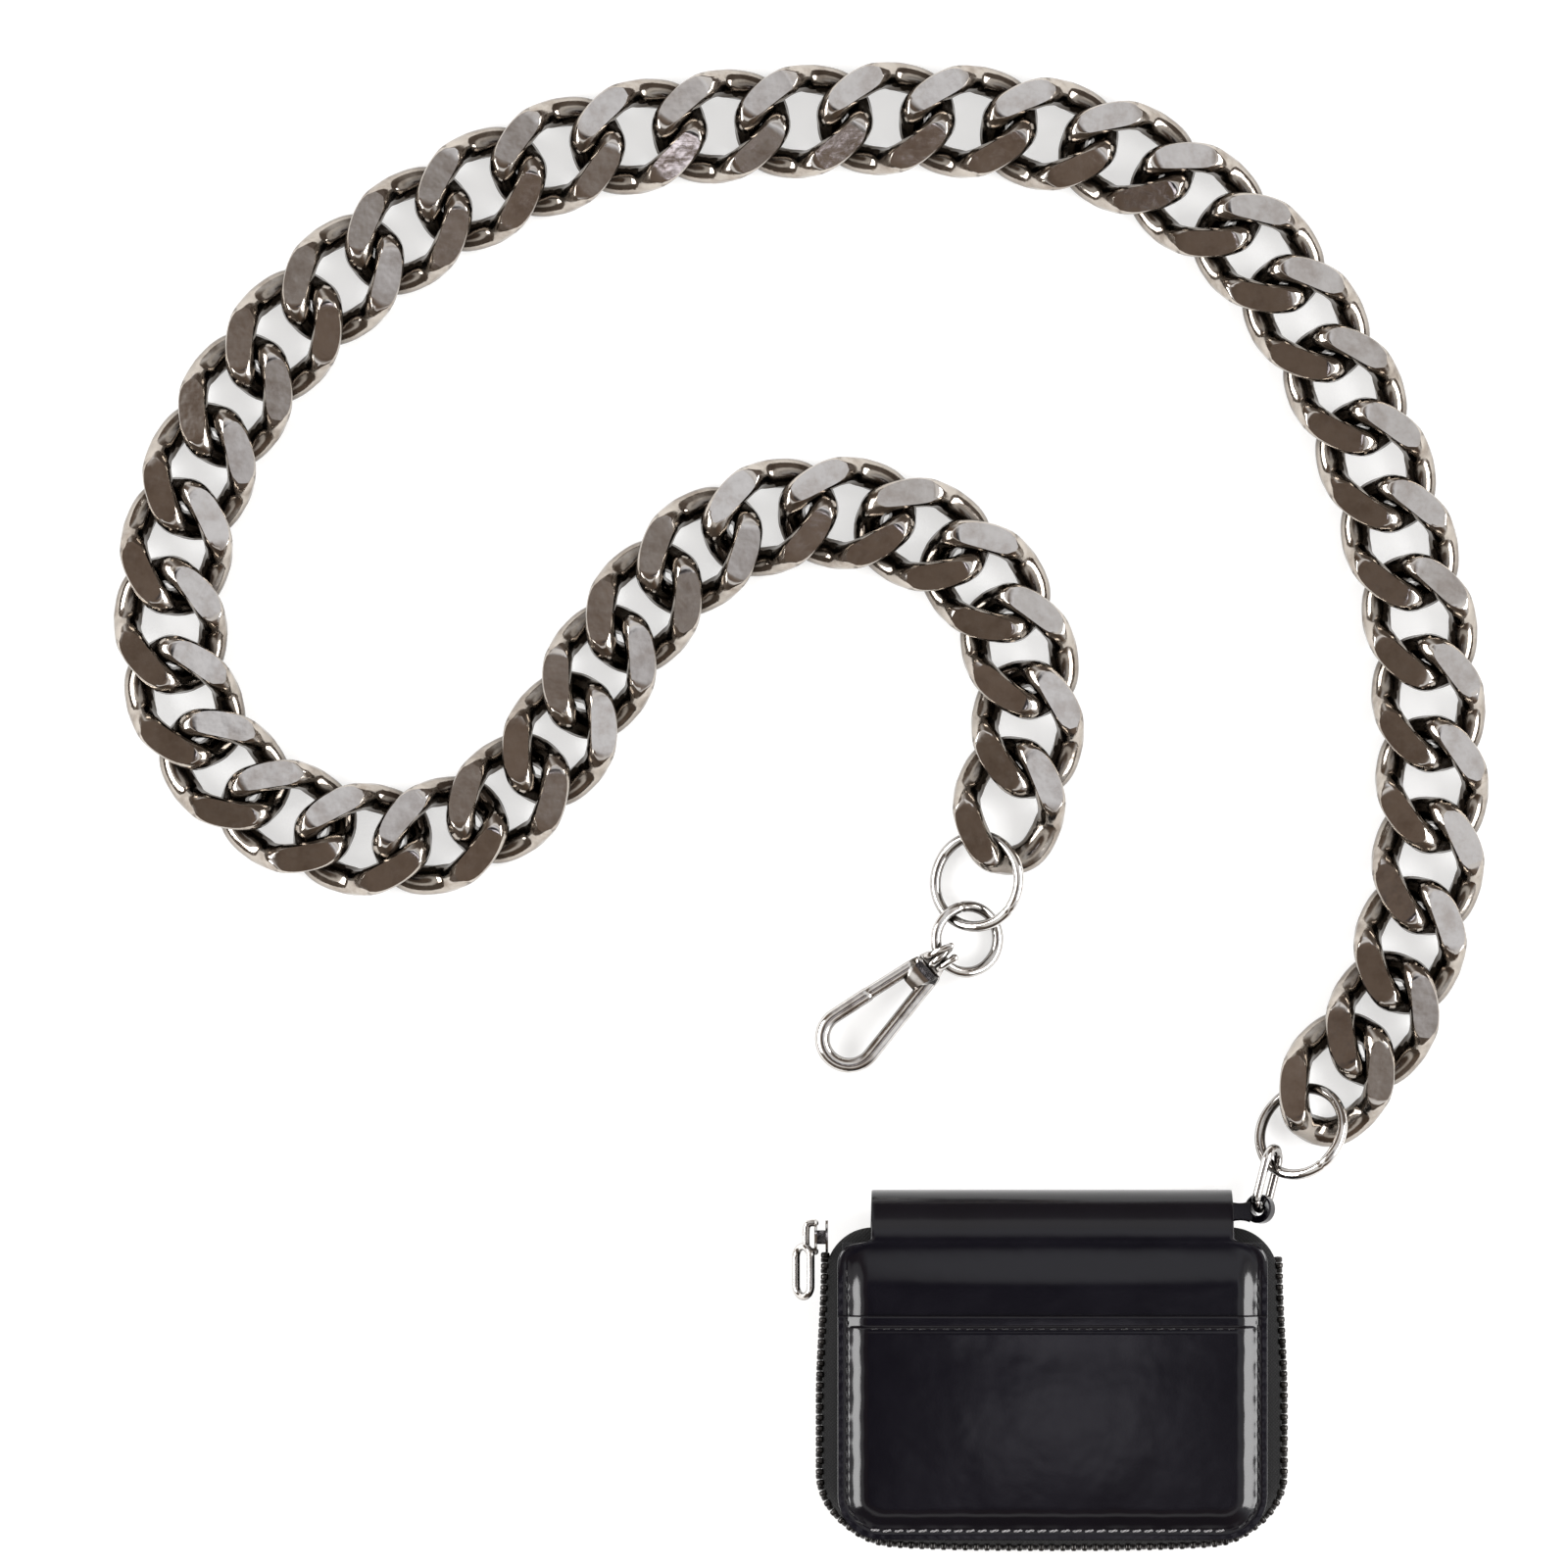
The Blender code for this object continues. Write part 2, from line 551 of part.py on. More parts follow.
def make_hook():
    """Teardrop wire body with a faceted neck, its gate and the gate's pin."""
    lean = math.degrees(math.acos((BULB_R - LEG_Y) / BULB_X))
    bulb = arc((BULB_X, 0), BULB_R, 180 - lean, -180 + lean, 14)
    nose_x = SEAM_X + 0.4 * MM
    tangent = bulb[-1]
    share = (nose_x - 0) / (tangent[0] - 0)
    nose_y = -LEG_Y + (tangent[1] + LEG_Y) * share
    path = [(1.5 * MM, LEG_Y)] + bulb + [(nose_x, nose_y)]
    body = hook_wire("hook_body", path, hook_point(-3.4 * MM, 0))
    neck = hook_block("hook_neck", [(-1.6 * MM, -3.4 * MM), (3.6 * MM, -4.1 * MM), (5.6 * MM, 0),
                                    (3.6 * MM, 4.1 * MM), (-1.6 * MM, 3.4 * MM)], 2.3 * MM,
                      hook_point(0, 0))
    boolean(body, neck, "UNION")
    ahead = (math.cos(HOOK_HEADING), math.sin(HOOK_HEADING), 0)
    eye_path = torus_path(hook_point(-3.3 * MM, 0, 1.5 * MM), 3.0 * MM, ahead, (0, 0, 1), 18)
    eye = swept("hook_eye", tube_rings(eye_path, 0.9 * MM, 6, True), steel(), True)
    boolean(body, eye, "UNION")
    pivot = hook_point(1.2 * MM, -LEG_Y)
    slot = hook_block("gate_slot_cutter", [(-0.9 * MM, -6.0 * MM), (7.0 * MM, -6.0 * MM),
                                           (7.0 * MM, -0.2 * MM), (-0.9 * MM, -0.2 * MM)],
                      1.35 * MM, pivot)
    boolean(body, slot, "DIFFERENCE")
    hole = hook_pin("gate_hole_cutter", 0.85 * MM, 4.0 * MM, pivot, pivot)
    boolean(body, hole, "DIFFERENCE")
    tip_y = -LEG_Y + (nose_y + LEG_Y) * SEAM_X / nose_x
    gate = hook_wire("hook_gate", [(1.2 * MM, -LEG_Y), (SEAM_X / 2, (tip_y - LEG_Y) / 2),
                                   (SEAM_X - 0.3 * MM, tip_y)], pivot, 1.05 * MM)
    knuckle = hook_pin("gate_knuckle", 1.5 * MM, 1.0 * MM, pivot, pivot)
    boolean(gate, knuckle, "UNION")
    bore = hook_pin("gate_bore_cutter", 0.85 * MM, 4.0 * MM, pivot, pivot)
    boolean(gate, bore, "DIFFERENCE")
    hook_pin("gate_pin", 0.5 * MM, 2.3 * MM, pivot, pivot)


def main():
    clear_scene()
    hinge = make_panels()
    make_coin_pocket()
    make_spine()
    make_zip(hinge)
    make_pull(make_slider())
    places = make_chain()
    make_end_rings(places)
    make_hook()


main()
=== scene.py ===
"""Looks of the chain wallet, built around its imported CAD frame.

Lengths inside the mesh code are millimetres in the CAD's frame; add_piece() turns
them into metres.  +X right, +Y towards the spine, +Z out of the table.
"""
import math

import bmesh
import bpy
import numpy as np
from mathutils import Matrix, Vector


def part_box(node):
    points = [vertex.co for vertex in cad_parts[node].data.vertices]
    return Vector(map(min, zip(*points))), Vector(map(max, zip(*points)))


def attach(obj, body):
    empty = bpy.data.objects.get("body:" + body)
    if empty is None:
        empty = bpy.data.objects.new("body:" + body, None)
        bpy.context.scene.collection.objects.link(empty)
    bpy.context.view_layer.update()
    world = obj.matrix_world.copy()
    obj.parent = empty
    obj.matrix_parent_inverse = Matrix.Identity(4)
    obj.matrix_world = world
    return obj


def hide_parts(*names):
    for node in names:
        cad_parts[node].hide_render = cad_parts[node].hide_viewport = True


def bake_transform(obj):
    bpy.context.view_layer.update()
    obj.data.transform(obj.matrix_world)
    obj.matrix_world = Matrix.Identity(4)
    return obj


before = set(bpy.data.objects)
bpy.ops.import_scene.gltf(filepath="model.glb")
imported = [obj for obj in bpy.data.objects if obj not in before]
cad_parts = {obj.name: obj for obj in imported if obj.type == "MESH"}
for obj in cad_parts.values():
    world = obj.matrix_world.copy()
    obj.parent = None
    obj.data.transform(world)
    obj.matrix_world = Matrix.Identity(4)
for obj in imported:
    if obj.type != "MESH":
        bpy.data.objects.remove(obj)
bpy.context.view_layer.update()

MM = 0.001

# ---- Wallet, repeated from the cad ----
HALF_WIDTH = 52.5
BOTTOM_Y = -41.5
SHOULDER_Y = 31.0
CORNER_R = 11.0
SHOULDER_R = 5.0
SPINE_HALF_WIDTH = 44.3
POCKET_Y = 13.4
ZIP_HALF_WIDTH = 56.4
ZIP_BOTTOM_Y = -43.4
ZIP_MID_Z = 12.0

# ---- Chain, repeated from the cad ----
LINK_COUNT = 46
LINK_A = 13.7
LINK_B = 10.5
LINK_TWIST = 3.4
TWIST_SNAP = 1.5
TWIST_LAG = 4.0
LINK_CUT = 5.2
CHAIN_ROUTE = [
    (70, 70.5), (80.8, 84.5), (88, 103.5), (92.5, 123.5), (93.5, 143), (92.7, 162), (90.8, 181),
    (86.2, 200), (80.5, 219), (72, 240), (62, 258), (50, 274), (33, 288), (15, 298),
    (-7, 303.5), (-28, 306), (-49, 306), (-69, 305), (-89.5, 303.5), (-110, 300), (-129, 294),
    (-148, 284.5), (-165, 273.5), (-180.5, 260.5), (-194.5, 245), (-205.5, 227), (-213, 207.5),
    (-216, 188.5), (-214.5, 169.5), (-207.5, 152.5), (-194, 139), (-177, 131), (-159, 129),
    (-142, 133), (-127.5, 145), (-116.5, 160), (-107, 177), (-95, 191.5), (-81, 203.5),
    (-60.5, 210), (-40, 207), (-23.5, 199.5), (-12, 186.5), (-6.5, 170), (-6, 153.5),
    (-10.3, 137.6),
]
CHAIN_SLACK = [(1, 18.0), (3, 20.2), (12, 20.1), (22, 20.7), (27, 19.6), (36, 19.4), (46, 19.5)]


# ---- Materials ----
PORE_SCALE = 2600.0
CLOTH_TURN = 0.7854
THREAD_PITCH = 0.55
SCRATCH_DEPTH = 0.000004
# Painted shade on the metals: how many occlusion samples, which occlusion range runs from full shade to
# none, and how far the shade darkens the tarnish tone.
PAINTED_SHADE_SAMPLES = 6
PAINTED_SHADE_RANGE = (0.52, 0.95)
PAINTED_SHADE_DARK = 0.28
MIX_FIRST, MIX_SECOND, MIX_RESULT = 6, 7, 2  # a colour mix's sockets, which share their names


def new_material(name, base, metallic, roughness, **sockets):
    mat = bpy.data.materials.new(name)
    mat.use_nodes = True
    shader = mat.node_tree.nodes["Principled BSDF"]
    shader.inputs["Base Color"].default_value = (*base, 1.0)
    shader.inputs["Metallic"].default_value = metallic
    shader.inputs["Roughness"].default_value = roughness
    for key, value in sockets.items():
        shader.inputs[key.replace("_", " ")].default_value = value
    return mat


def node(owner, kind, **inputs):
    """A new shader node of a material, or of the world."""
    made = owner.node_tree.nodes.new(kind)
    for key, value in inputs.items():
        made.inputs[key].default_value = value
    return made


def link(owner, source, target):
    owner.node_tree.links.new(source, target)


def place_coordinates(mat, scale=(1.0, 1.0, 1.0), turn=0.0):
    """Object coordinates in metres, scaled and turned about Z."""
    mapping = node(mat, "ShaderNodeMapping", Scale=scale, Rotation=(0.0, 0.0, turn))
    link(mat, node(mat, "ShaderNodeTexCoord").outputs["Object"], mapping.inputs["Vector"])
    return mapping.outputs["Vector"]


def noise(mat, vector, scale, detail, roughness=0.5):
    made = node(mat, "ShaderNodeTexNoise", Scale=scale, Detail=detail, Roughness=roughness)
    link(mat, vector, made.inputs["Vector"])
    return made.outputs["Fac"]


def bands(mat, vector, pitch, distortion, detail=2.0):
    """Parallel ribs whose pitch is in millimetres."""
    made = node(mat, "ShaderNodeTexWave", Scale=math.pi / (10.0 * pitch * MM),
                Distortion=distortion, Detail=detail)
    link(mat, vector, made.inputs["Vector"])
    return made


def ramp(owner, factor, stops):
    made = node(owner, "ShaderNodeValToRGB")
    elements = made.color_ramp.elements
    while len(elements) < len(stops):
        elements.new(0.5)
    for element, (place, colour) in zip(elements, stops):
        element.position = place
        element.color = (*colour, 1.0)
    link(owner, factor, made.inputs["Fac"])
    return made.outputs["Color"]


def between(owner, factor, low, high, from_low=0.3, from_high=0.7):
    """A pattern turned into a value between low and high."""
    made = node(owner, "ShaderNodeMapRange")
    for index, value in enumerate((from_low, from_high, low, high), start=1):
        made.inputs[index].default_value = value
    link(owner, factor, made.inputs[0])
    return made.outputs[0]


def mixed(owner, share, first, second):
    """The second colour mixed into the first; each is a socket or three numbers."""
    made = node(owner, "ShaderNodeMix")
    made.data_type = "RGBA"
    link(owner, share, made.inputs[0])
    for index, colour in ((MIX_FIRST, first), (MIX_SECOND, second)):
        if isinstance(colour, tuple):
            made.inputs[index].default_value = (*colour, 1.0)
        else:
            link(owner, colour, made.inputs[index])
    return made.outputs[MIX_RESULT]


def scaled(colour, factor):
    return tuple(c * factor for c in colour)


def add_bump(mat, height, distance, strength=1.0, previous=None):
    made = node(mat, "ShaderNodeBump", Strength=strength, Distance=distance)
    link(mat, height, made.inputs["Height"])
    if previous is not None:
        link(mat, previous, made.inputs["Normal"])
    return made.outputs["Normal"]


def shader_of(mat):
    return mat.node_tree.nodes["Principled BSDF"]


def leather_material(name, base, roughness, gloss, wave=0.00016):
    """Polished calf: soft waves under a clear finish, fine pores, rubbed patches."""
    mat = new_material(name, base, 0.0, roughness, Coat_Weight=gloss, Coat_Roughness=0.12,
                       Coat_IOR=1.45, IOR=1.36)
    vector = place_coordinates(mat)
    shader = shader_of(mat)
    patches = noise(mat, vector, 60.0, 4.0, 0.6)
    link(mat, between(mat, patches, roughness * 0.88, roughness * 1.18), shader.inputs["Roughness"])
    link(mat, ramp(mat, patches, [(0.3, scaled(base, 0.85)), (0.5, base), (0.75, scaled(base, 1.2))]),
         shader.inputs["Base Color"])
    soft = add_bump(mat, noise(mat, vector, 85.0, 2.0), wave)
    pores = node(mat, "ShaderNodeTexVoronoi", Scale=PORE_SCALE)
    link(mat, vector, pores.inputs["Vector"])
    grain = add_bump(mat, pores.outputs["Distance"], 0.00001, 0.25, soft)
    link(mat, grain, shader.inputs["Normal"])
    link(mat, soft, shader.inputs["Coat Normal"])
    return mat


def cloth_material(name, base, pitch, depth, sheen=0.25):
    """Woven cloth: two crossed sets of ribs at the yarn's pitch."""
    mat = new_material(name, base, 0.0, 0.85, Sheen_Weight=sheen, Sheen_Roughness=0.4,
                       Specular_IOR_Level=0.3)
    vector = place_coordinates(mat, turn=CLOTH_TURN)
    cross = node(mat, "ShaderNodeMath")
    cross.operation = "MULTIPLY"
    for index, direction in enumerate(("X", "Y")):
        ribs = bands(mat, vector, pitch, 0.6, 1.0)
        ribs.bands_direction = direction
        link(mat, ribs.outputs["Fac"], cross.inputs[index])
    shader = shader_of(mat)
    link(mat, ramp(mat, cross.outputs[0], [(0.05, scaled(base, 0.55)), (0.7, scaled(base, 2.1))]),
         shader.inputs["Base Color"])
    link(mat, add_bump(mat, cross.outputs[0], depth), shader.inputs["Normal"])
    return mat


def metal_material(name, base, roughness, tarnish, ripple, painted_shade_reach=None):
    """Plated metal: warm tarnish in patches, hairline scratches, uneven polish; when a reach is given,
    painted shade from ambient occlusion darkens recesses and the sides of wires.
    """
    mat = new_material(name, base, 1.0, roughness)
    vector = place_coordinates(mat)
    shader = shader_of(mat)
    clouds = noise(mat, vector, 170.0, 5.0, 0.62)
    colour = ramp(mat, clouds, [(0.32, tarnish), (0.52, base), (0.8, scaled(base, 1.1))])
    # Painted shade: ambient occlusion darkens the colour towards a dark tarnish tone in crevices between
    # parts and along sides that face the floor.
    if painted_shade_reach:
        occlusion_shade = node(mat, "ShaderNodeAmbientOcclusion", Distance=painted_shade_reach)
        occlusion_shade.samples = PAINTED_SHADE_SAMPLES
        unshaded_share = between(mat, occlusion_shade.outputs["AO"], 0.0, 1.0, *PAINTED_SHADE_RANGE)
        colour = mixed(mat, unshaded_share, scaled(tarnish, PAINTED_SHADE_DARK), colour)
    link(mat, colour, shader.inputs["Base Color"])
    link(mat, between(mat, noise(mat, vector, 420.0, 4.0, 0.65), roughness * 0.55, roughness * 1.7),
         shader.inputs["Roughness"])
    wavy = add_bump(mat, noise(mat, vector, 240.0, 2.0), ripple)
    stretched = place_coordinates(mat, (240.0, 5200.0, 900.0), 0.6)
    lines = noise(mat, stretched, 1.0, 2.0, 0.7)
    link(mat, add_bump(mat, lines, SCRATCH_DEPTH, 0.6, wavy), shader.inputs["Normal"])
    return mat


def thread_material(name, base):
    """Twisted waxed thread."""
    mat = new_material(name, base, 0.0, 0.5, Sheen_Weight=0.05, Specular_IOR_Level=0.4)
    twist = bands(mat, place_coordinates(mat, turn=0.9), THREAD_PITCH, 1.0).outputs["Fac"]
    shader = shader_of(mat)
    link(mat, add_bump(mat, twist, 0.00008), shader.inputs["Normal"])
    link(mat, ramp(mat, twist, [(0.1, scaled(base, 0.6)), (0.8, scaled(base, 1.7))]),
         shader.inputs["Base Color"])
    return mat


LEATHER = leather_material("leather_polished", (0.0032, 0.0028, 0.0050), 0.16, 0.35, 0.00009)
LEATHER_IN = leather_material("leather_inner", (0.012, 0.0115, 0.013), 0.42, 0.1)
EDGE_PAINT = leather_material("leather_edge_paint", (0.004, 0.004, 0.0045), 0.6, 0.0, 0.0001)
THREAD = thread_material("waxed_thread", (0.012, 0.0115, 0.013))
# A paler copy of the same black thread: a painted highlight for the bottom stitches.
THREAD_PAINTED_HIGHLIGHT = thread_material("waxed_thread_painted_highlight", (0.20, 0.195, 0.20))
LINING = cloth_material("lining_twill", (0.016, 0.016, 0.018), 0.45, 0.00006)
TAPE = cloth_material("zip_tape_weave", (0.0022, 0.0022, 0.0026), 0.62, 0.00010, 0.01)
TEETH = metal_material("zip_teeth_plated", (0.055, 0.052, 0.05), 0.3, (0.012, 0.0115, 0.011), 0.00003)
# The chain wire and the steel parts carry painted shade: darker in recesses and along their sides.
NICKEL = metal_material("chain_nickel_wire", (0.54, 0.49, 0.435), 0.12, (0.33, 0.28, 0.235), 0.00010,
                        painted_shade_reach=0.022)
NICKEL_CUT = metal_material("chain_nickel_cut", (0.66, 0.63, 0.605), 0.085, (0.53, 0.485, 0.45), 0.00006)
STEEL = metal_material("steel_polished", (0.80, 0.78, 0.755), 0.09, (0.52, 0.48, 0.445), 0.00007,
                       painted_shade_reach=0.03)


# ---- Mesh helpers ----
END_BULGE = [(0.38, 0.92), (0.7, 0.71), (0.92, 0.38)]  # a wire end: how far out, how wide


def add_piece(name, verts, faces, materials, body, face_slots=None, sharp_deg=None,
              replaced=()):
    """A mesh piece in metres that rides on a CAD body."""
    mesh = bpy.data.meshes.new(name)
    mesh.from_pydata((np.asarray(verts, dtype=float) * MM).tolist(), [], [tuple(f) for f in faces])
    for mat in materials:
        mesh.materials.append(mat)
    if face_slots is not None:
        mesh.polygons.foreach_set("material_index", np.asarray(face_slots, dtype=np.int32))
    bm = bmesh.new()
    bm.from_mesh(mesh)
    bmesh.ops.recalc_face_normals(bm, faces=bm.faces)
    bm.to_mesh(mesh)
    bm.free()
    mesh.shade_smooth()
    if sharp_deg:
        mesh.set_sharp_from_angle(angle=math.radians(sharp_deg))
    obj = bpy.data.objects.new(name, mesh)
    bpy.context.collection.objects.link(obj)
    if body:
        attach(obj, body)
    if replaced:
        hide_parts(*replaced)
    return obj


class Heap:
    """Vertices and faces of several parts gathered into one piece."""

    def __init__(self):
        self.verts = []
        self.faces = []
        self.slots = []

    def add(self, verts, faces, slot=0):
        start = len(self.verts)
        self.verts.extend(np.asarray(verts, dtype=float).tolist())
        self.faces.extend([tuple(start + i for i in face) for face in faces])
        self.slots.extend([slot] * len(faces) if np.ndim(slot) == 0 else slot)

    def piece(self, name, materials, body, sharp_deg=None, replaced=()):
        add_piece(name, self.verts, self.faces, materials, body, self.slots,
                  sharp_deg, replaced)


def grid_faces(rows, columns, wrap_rows=False, wrap_columns=False):
    faces = []
    for r in range(rows if wrap_rows else rows - 1):
        s = (r + 1) % rows
        for c in range(columns if wrap_columns else columns - 1):
            d = (c + 1) % columns
            faces.append((r * columns + c, r * columns + d, s * columns + d, s * columns + c))
    return faces


def frames_along(path, closed):
    """Tangent, side and up at each point of a path, with the least twist."""
    path = np.asarray(path, dtype=float)
    tangents = unit_rows(neighbours_apart(path) if closed else np.gradient(path, axis=0))
    guide = np.array([0, 0, 1.0]) if abs(tangents[0][2]) < 0.9 else np.array([1.0, 0, 0])
    side = np.cross(guide, tangents[0])
    sides = []
    for tangent in tangents:
        side = side - tangent * side.dot(tangent)
        side = side / np.linalg.norm(side)
        sides.append(side)
    sides = np.array(sides)
    return path, tangents, sides, np.cross(tangents, sides)


def unit_rows(vectors):
    return vectors / np.linalg.norm(vectors, axis=1)[:, None]


def neighbours_apart(path):
    """From the point before to the point after, all round a closed path."""
    return np.roll(path, -1, axis=0) - np.roll(path, 1, axis=0)


def sections_at(centre, side, up, across, rise):
    """Section points: a row of offsets to the side and up at each centre."""
    return (centre[:, None, :] + side[:, None, :] * across[:, :, None]
            + up[:, None, :] * rise[:, :, None])


def run_along(path):
    """Distance travelled at each point of a path."""
    return np.concatenate([[0.0], np.cumsum(np.linalg.norm(np.diff(path, axis=0), axis=1))])


def points_at(at, run, path):
    return np.stack([np.interp(at, run, path[:, axis]) for axis in (0, 1)], axis=1)


def round_angles(count):
    return 2 * np.pi * (np.arange(count) + 0.5) / count


def squarish(value, power):
    """A sine or cosine bent by a power, its sign kept."""
    return np.sign(value) * np.abs(value) ** power


def loft(sections):
    """Skin equal closed sections (each an array of points) one after another."""
    sections = np.asarray(sections, dtype=float)
    rows, columns = sections.shape[:2]
    faces = grid_faces(rows, columns, wrap_columns=True)
    faces.append(tuple(range(columns))[::-1])
    faces.append(tuple((rows - 1) * columns + i for i in range(columns)))
    return sections.reshape(-1, 3), faces


def tube(path, radius, sides, closed=False, square=1.0, caps=True):
    """Round (or squarish) wire along a path; open wires get rounded ends."""
    path, tangents, side, up = frames_along(path, closed)
    radius = np.broadcast_to(np.asarray(radius, dtype=float), (len(path),))
    angle = round_angles(sides)
    ca, sa = squarish(np.cos(angle), square), squarish(np.sin(angle), square)
    rings = sections_at(path, side, up, radius[:, None] * ca, radius[:, None] * sa)
    if closed:
        return rings.reshape(-1, 3), grid_faces(len(path), sides, wrap_rows=True, wrap_columns=True)
    if caps:
        start, end = ([path[at] + way * tangents[at] * radius[at] * out
                       + (rings[at] - path[at]) * shrink for out, shrink in END_BULGE]
                      for at, way in ((0, -1.0), (-1, 1.0)))
        rings = np.concatenate([start[::-1], rings, end])
    return loft(rings)


def solidify(obj, thickness, rim_slot=0, offset=-1.0):
    modifier = obj.modifiers.new("thickness", "SOLIDIFY")
    modifier.thickness = thickness * MM
    modifier.offset = offset
    modifier.use_even_offset = True
    modifier.material_offset_rim = rim_slot
    apply_modifiers(obj)


def apply_modifiers(obj):
    bpy.context.view_layer.update()
    graph = bpy.context.evaluated_depsgraph_get()
    made = bpy.data.meshes.new_from_object(obj.evaluated_get(graph), depsgraph=graph)
    old = obj.data
    obj.modifiers.clear()
    obj.data = made
    made.name = old.name
    bpy.data.meshes.remove(old)


def orient_up(obj, sign):
    """Make an open sheet's faces look up (+1) or down (-1)."""
    total = sum(poly.normal.z * poly.area for poly in obj.data.polygons)
    if total * sign < 0:
        obj.data.flip_normals()


def sheet(name, verts, materials, body, replaced, up, thickness):
    """A grid of points made into a sheet; the last material is on its cut edges."""
    obj = add_piece(name, verts.reshape(-1, 3), grid_faces(*verts.shape[:2]), materials, body,
                    replaced=replaced)
    orient_up(obj, up)
    solidify(obj, thickness, len(materials) - 1)
    return obj


def smoothstep(value, low, high):
    t = np.clip((value - low) / (high - low), 0.0, 1.0)
    return t * t * (3.0 - 2.0 * t)


# ---- Chain ----
def smooth_route():
    points = np.array(CHAIN_ROUTE, dtype=float)
    points = np.vstack([2 * points[0] - points[1], points, 2 * points[-1] - points[-2]])
    t = np.linspace(0.0, 1.0, 60, endpoint=False)[:, None]
    dense = []
    for p0, p1, p2, p3 in zip(points, points[1:], points[2:], points[3:]):
        dense.append(0.5 * (2 * p1 + (p2 - p0) * t + (2 * p0 - 5 * p1 + 4 * p2 - p3) * t ** 2
                            + (3 * p1 - p0 - 3 * p2 + p3) * t ** 3))
    return np.vstack(dense + [points[-2:-1]])


def link_places():
    """Centre and heading of every link, as the CAD has them."""
    dense = smooth_route()
    travelled = run_along(dense)
    numbers, pitches = zip(*CHAIN_SLACK)
    pitch = np.interp(np.arange(1, LINK_COUNT) + 0.5, numbers, pitches)
    reach = np.concatenate([[0.0], np.cumsum(pitch)])
    reach *= travelled[-1] / reach[-1]
    centres = points_at(reach, travelled, dense)
    places = []
    for k, centre in enumerate(centres):
        step = centres[min(k + 1, LINK_COUNT - 1)] - centres[max(k - 1, 0)]
        places.append((np.array([*centre, LINK_CUT]), math.atan2(step[1], step[0])))
    return places


WIRE_W = (3.3, 3.68)  # half width of the wire: at mid height, and at its top and bottom
WIRE_H = 3.3
LINK_RINGS = 84
CUT_POINTS = 7  # across a top flat
UNDER_POINTS = 5  # across the flat underneath
ARC_POINTS = 7
CUT_MIN = 0.16  # least half angle of a cut, in radians
HAND_FADE = 2.4  # the two top flats meet over this distance
CUT_ANCHOR = (-8.0, 6.8)
CUT_TILTS = (8.0, 8.0, 0.0, 0.0)  # degrees, for the two flats across and along the link
CUT_SPREAD = (1.2, 1.2, 2.0, 2.0)
CUT_LIMITS = (7.0, 10.0)


def cut_group(wire, normal, offset, points):
    """Section points across a cut: where the wire crosses the plane, a straight chord."""
    centre, side, up, wide = wire
    along_side = wide * np.einsum("ij,ij->i", normal, side)
    along_up = WIRE_H * np.einsum("ij,ij->i", normal, up)
    height = np.einsum("ij,ij->i", normal, centre) - offset
    reach = np.hypot(along_side, along_up)
    middle = np.arctan2(along_up, along_side)
    half = np.arccos(np.clip(-height / reach, -1.0, 1.0))
    spread = np.maximum(half, CUT_MIN)
    angles = middle[:, None] + spread[:, None] * np.linspace(-1, 1, points)[None, :]
    section = wire_section(wire, angles)
    above = np.einsum("ik,ijk->ij", normal, section) - offset[:, None]
    section -= normal[:, None, :] * np.maximum(above, 0.0)[:, :, None]
    return section, np.mod(middle, 2 * np.pi), spread, half


def wire_section(wire, angles):
    *axes, wide = wire
    return sections_at(*axes, wide[:, None] * np.cos(angles), WIRE_H * np.sin(angles))


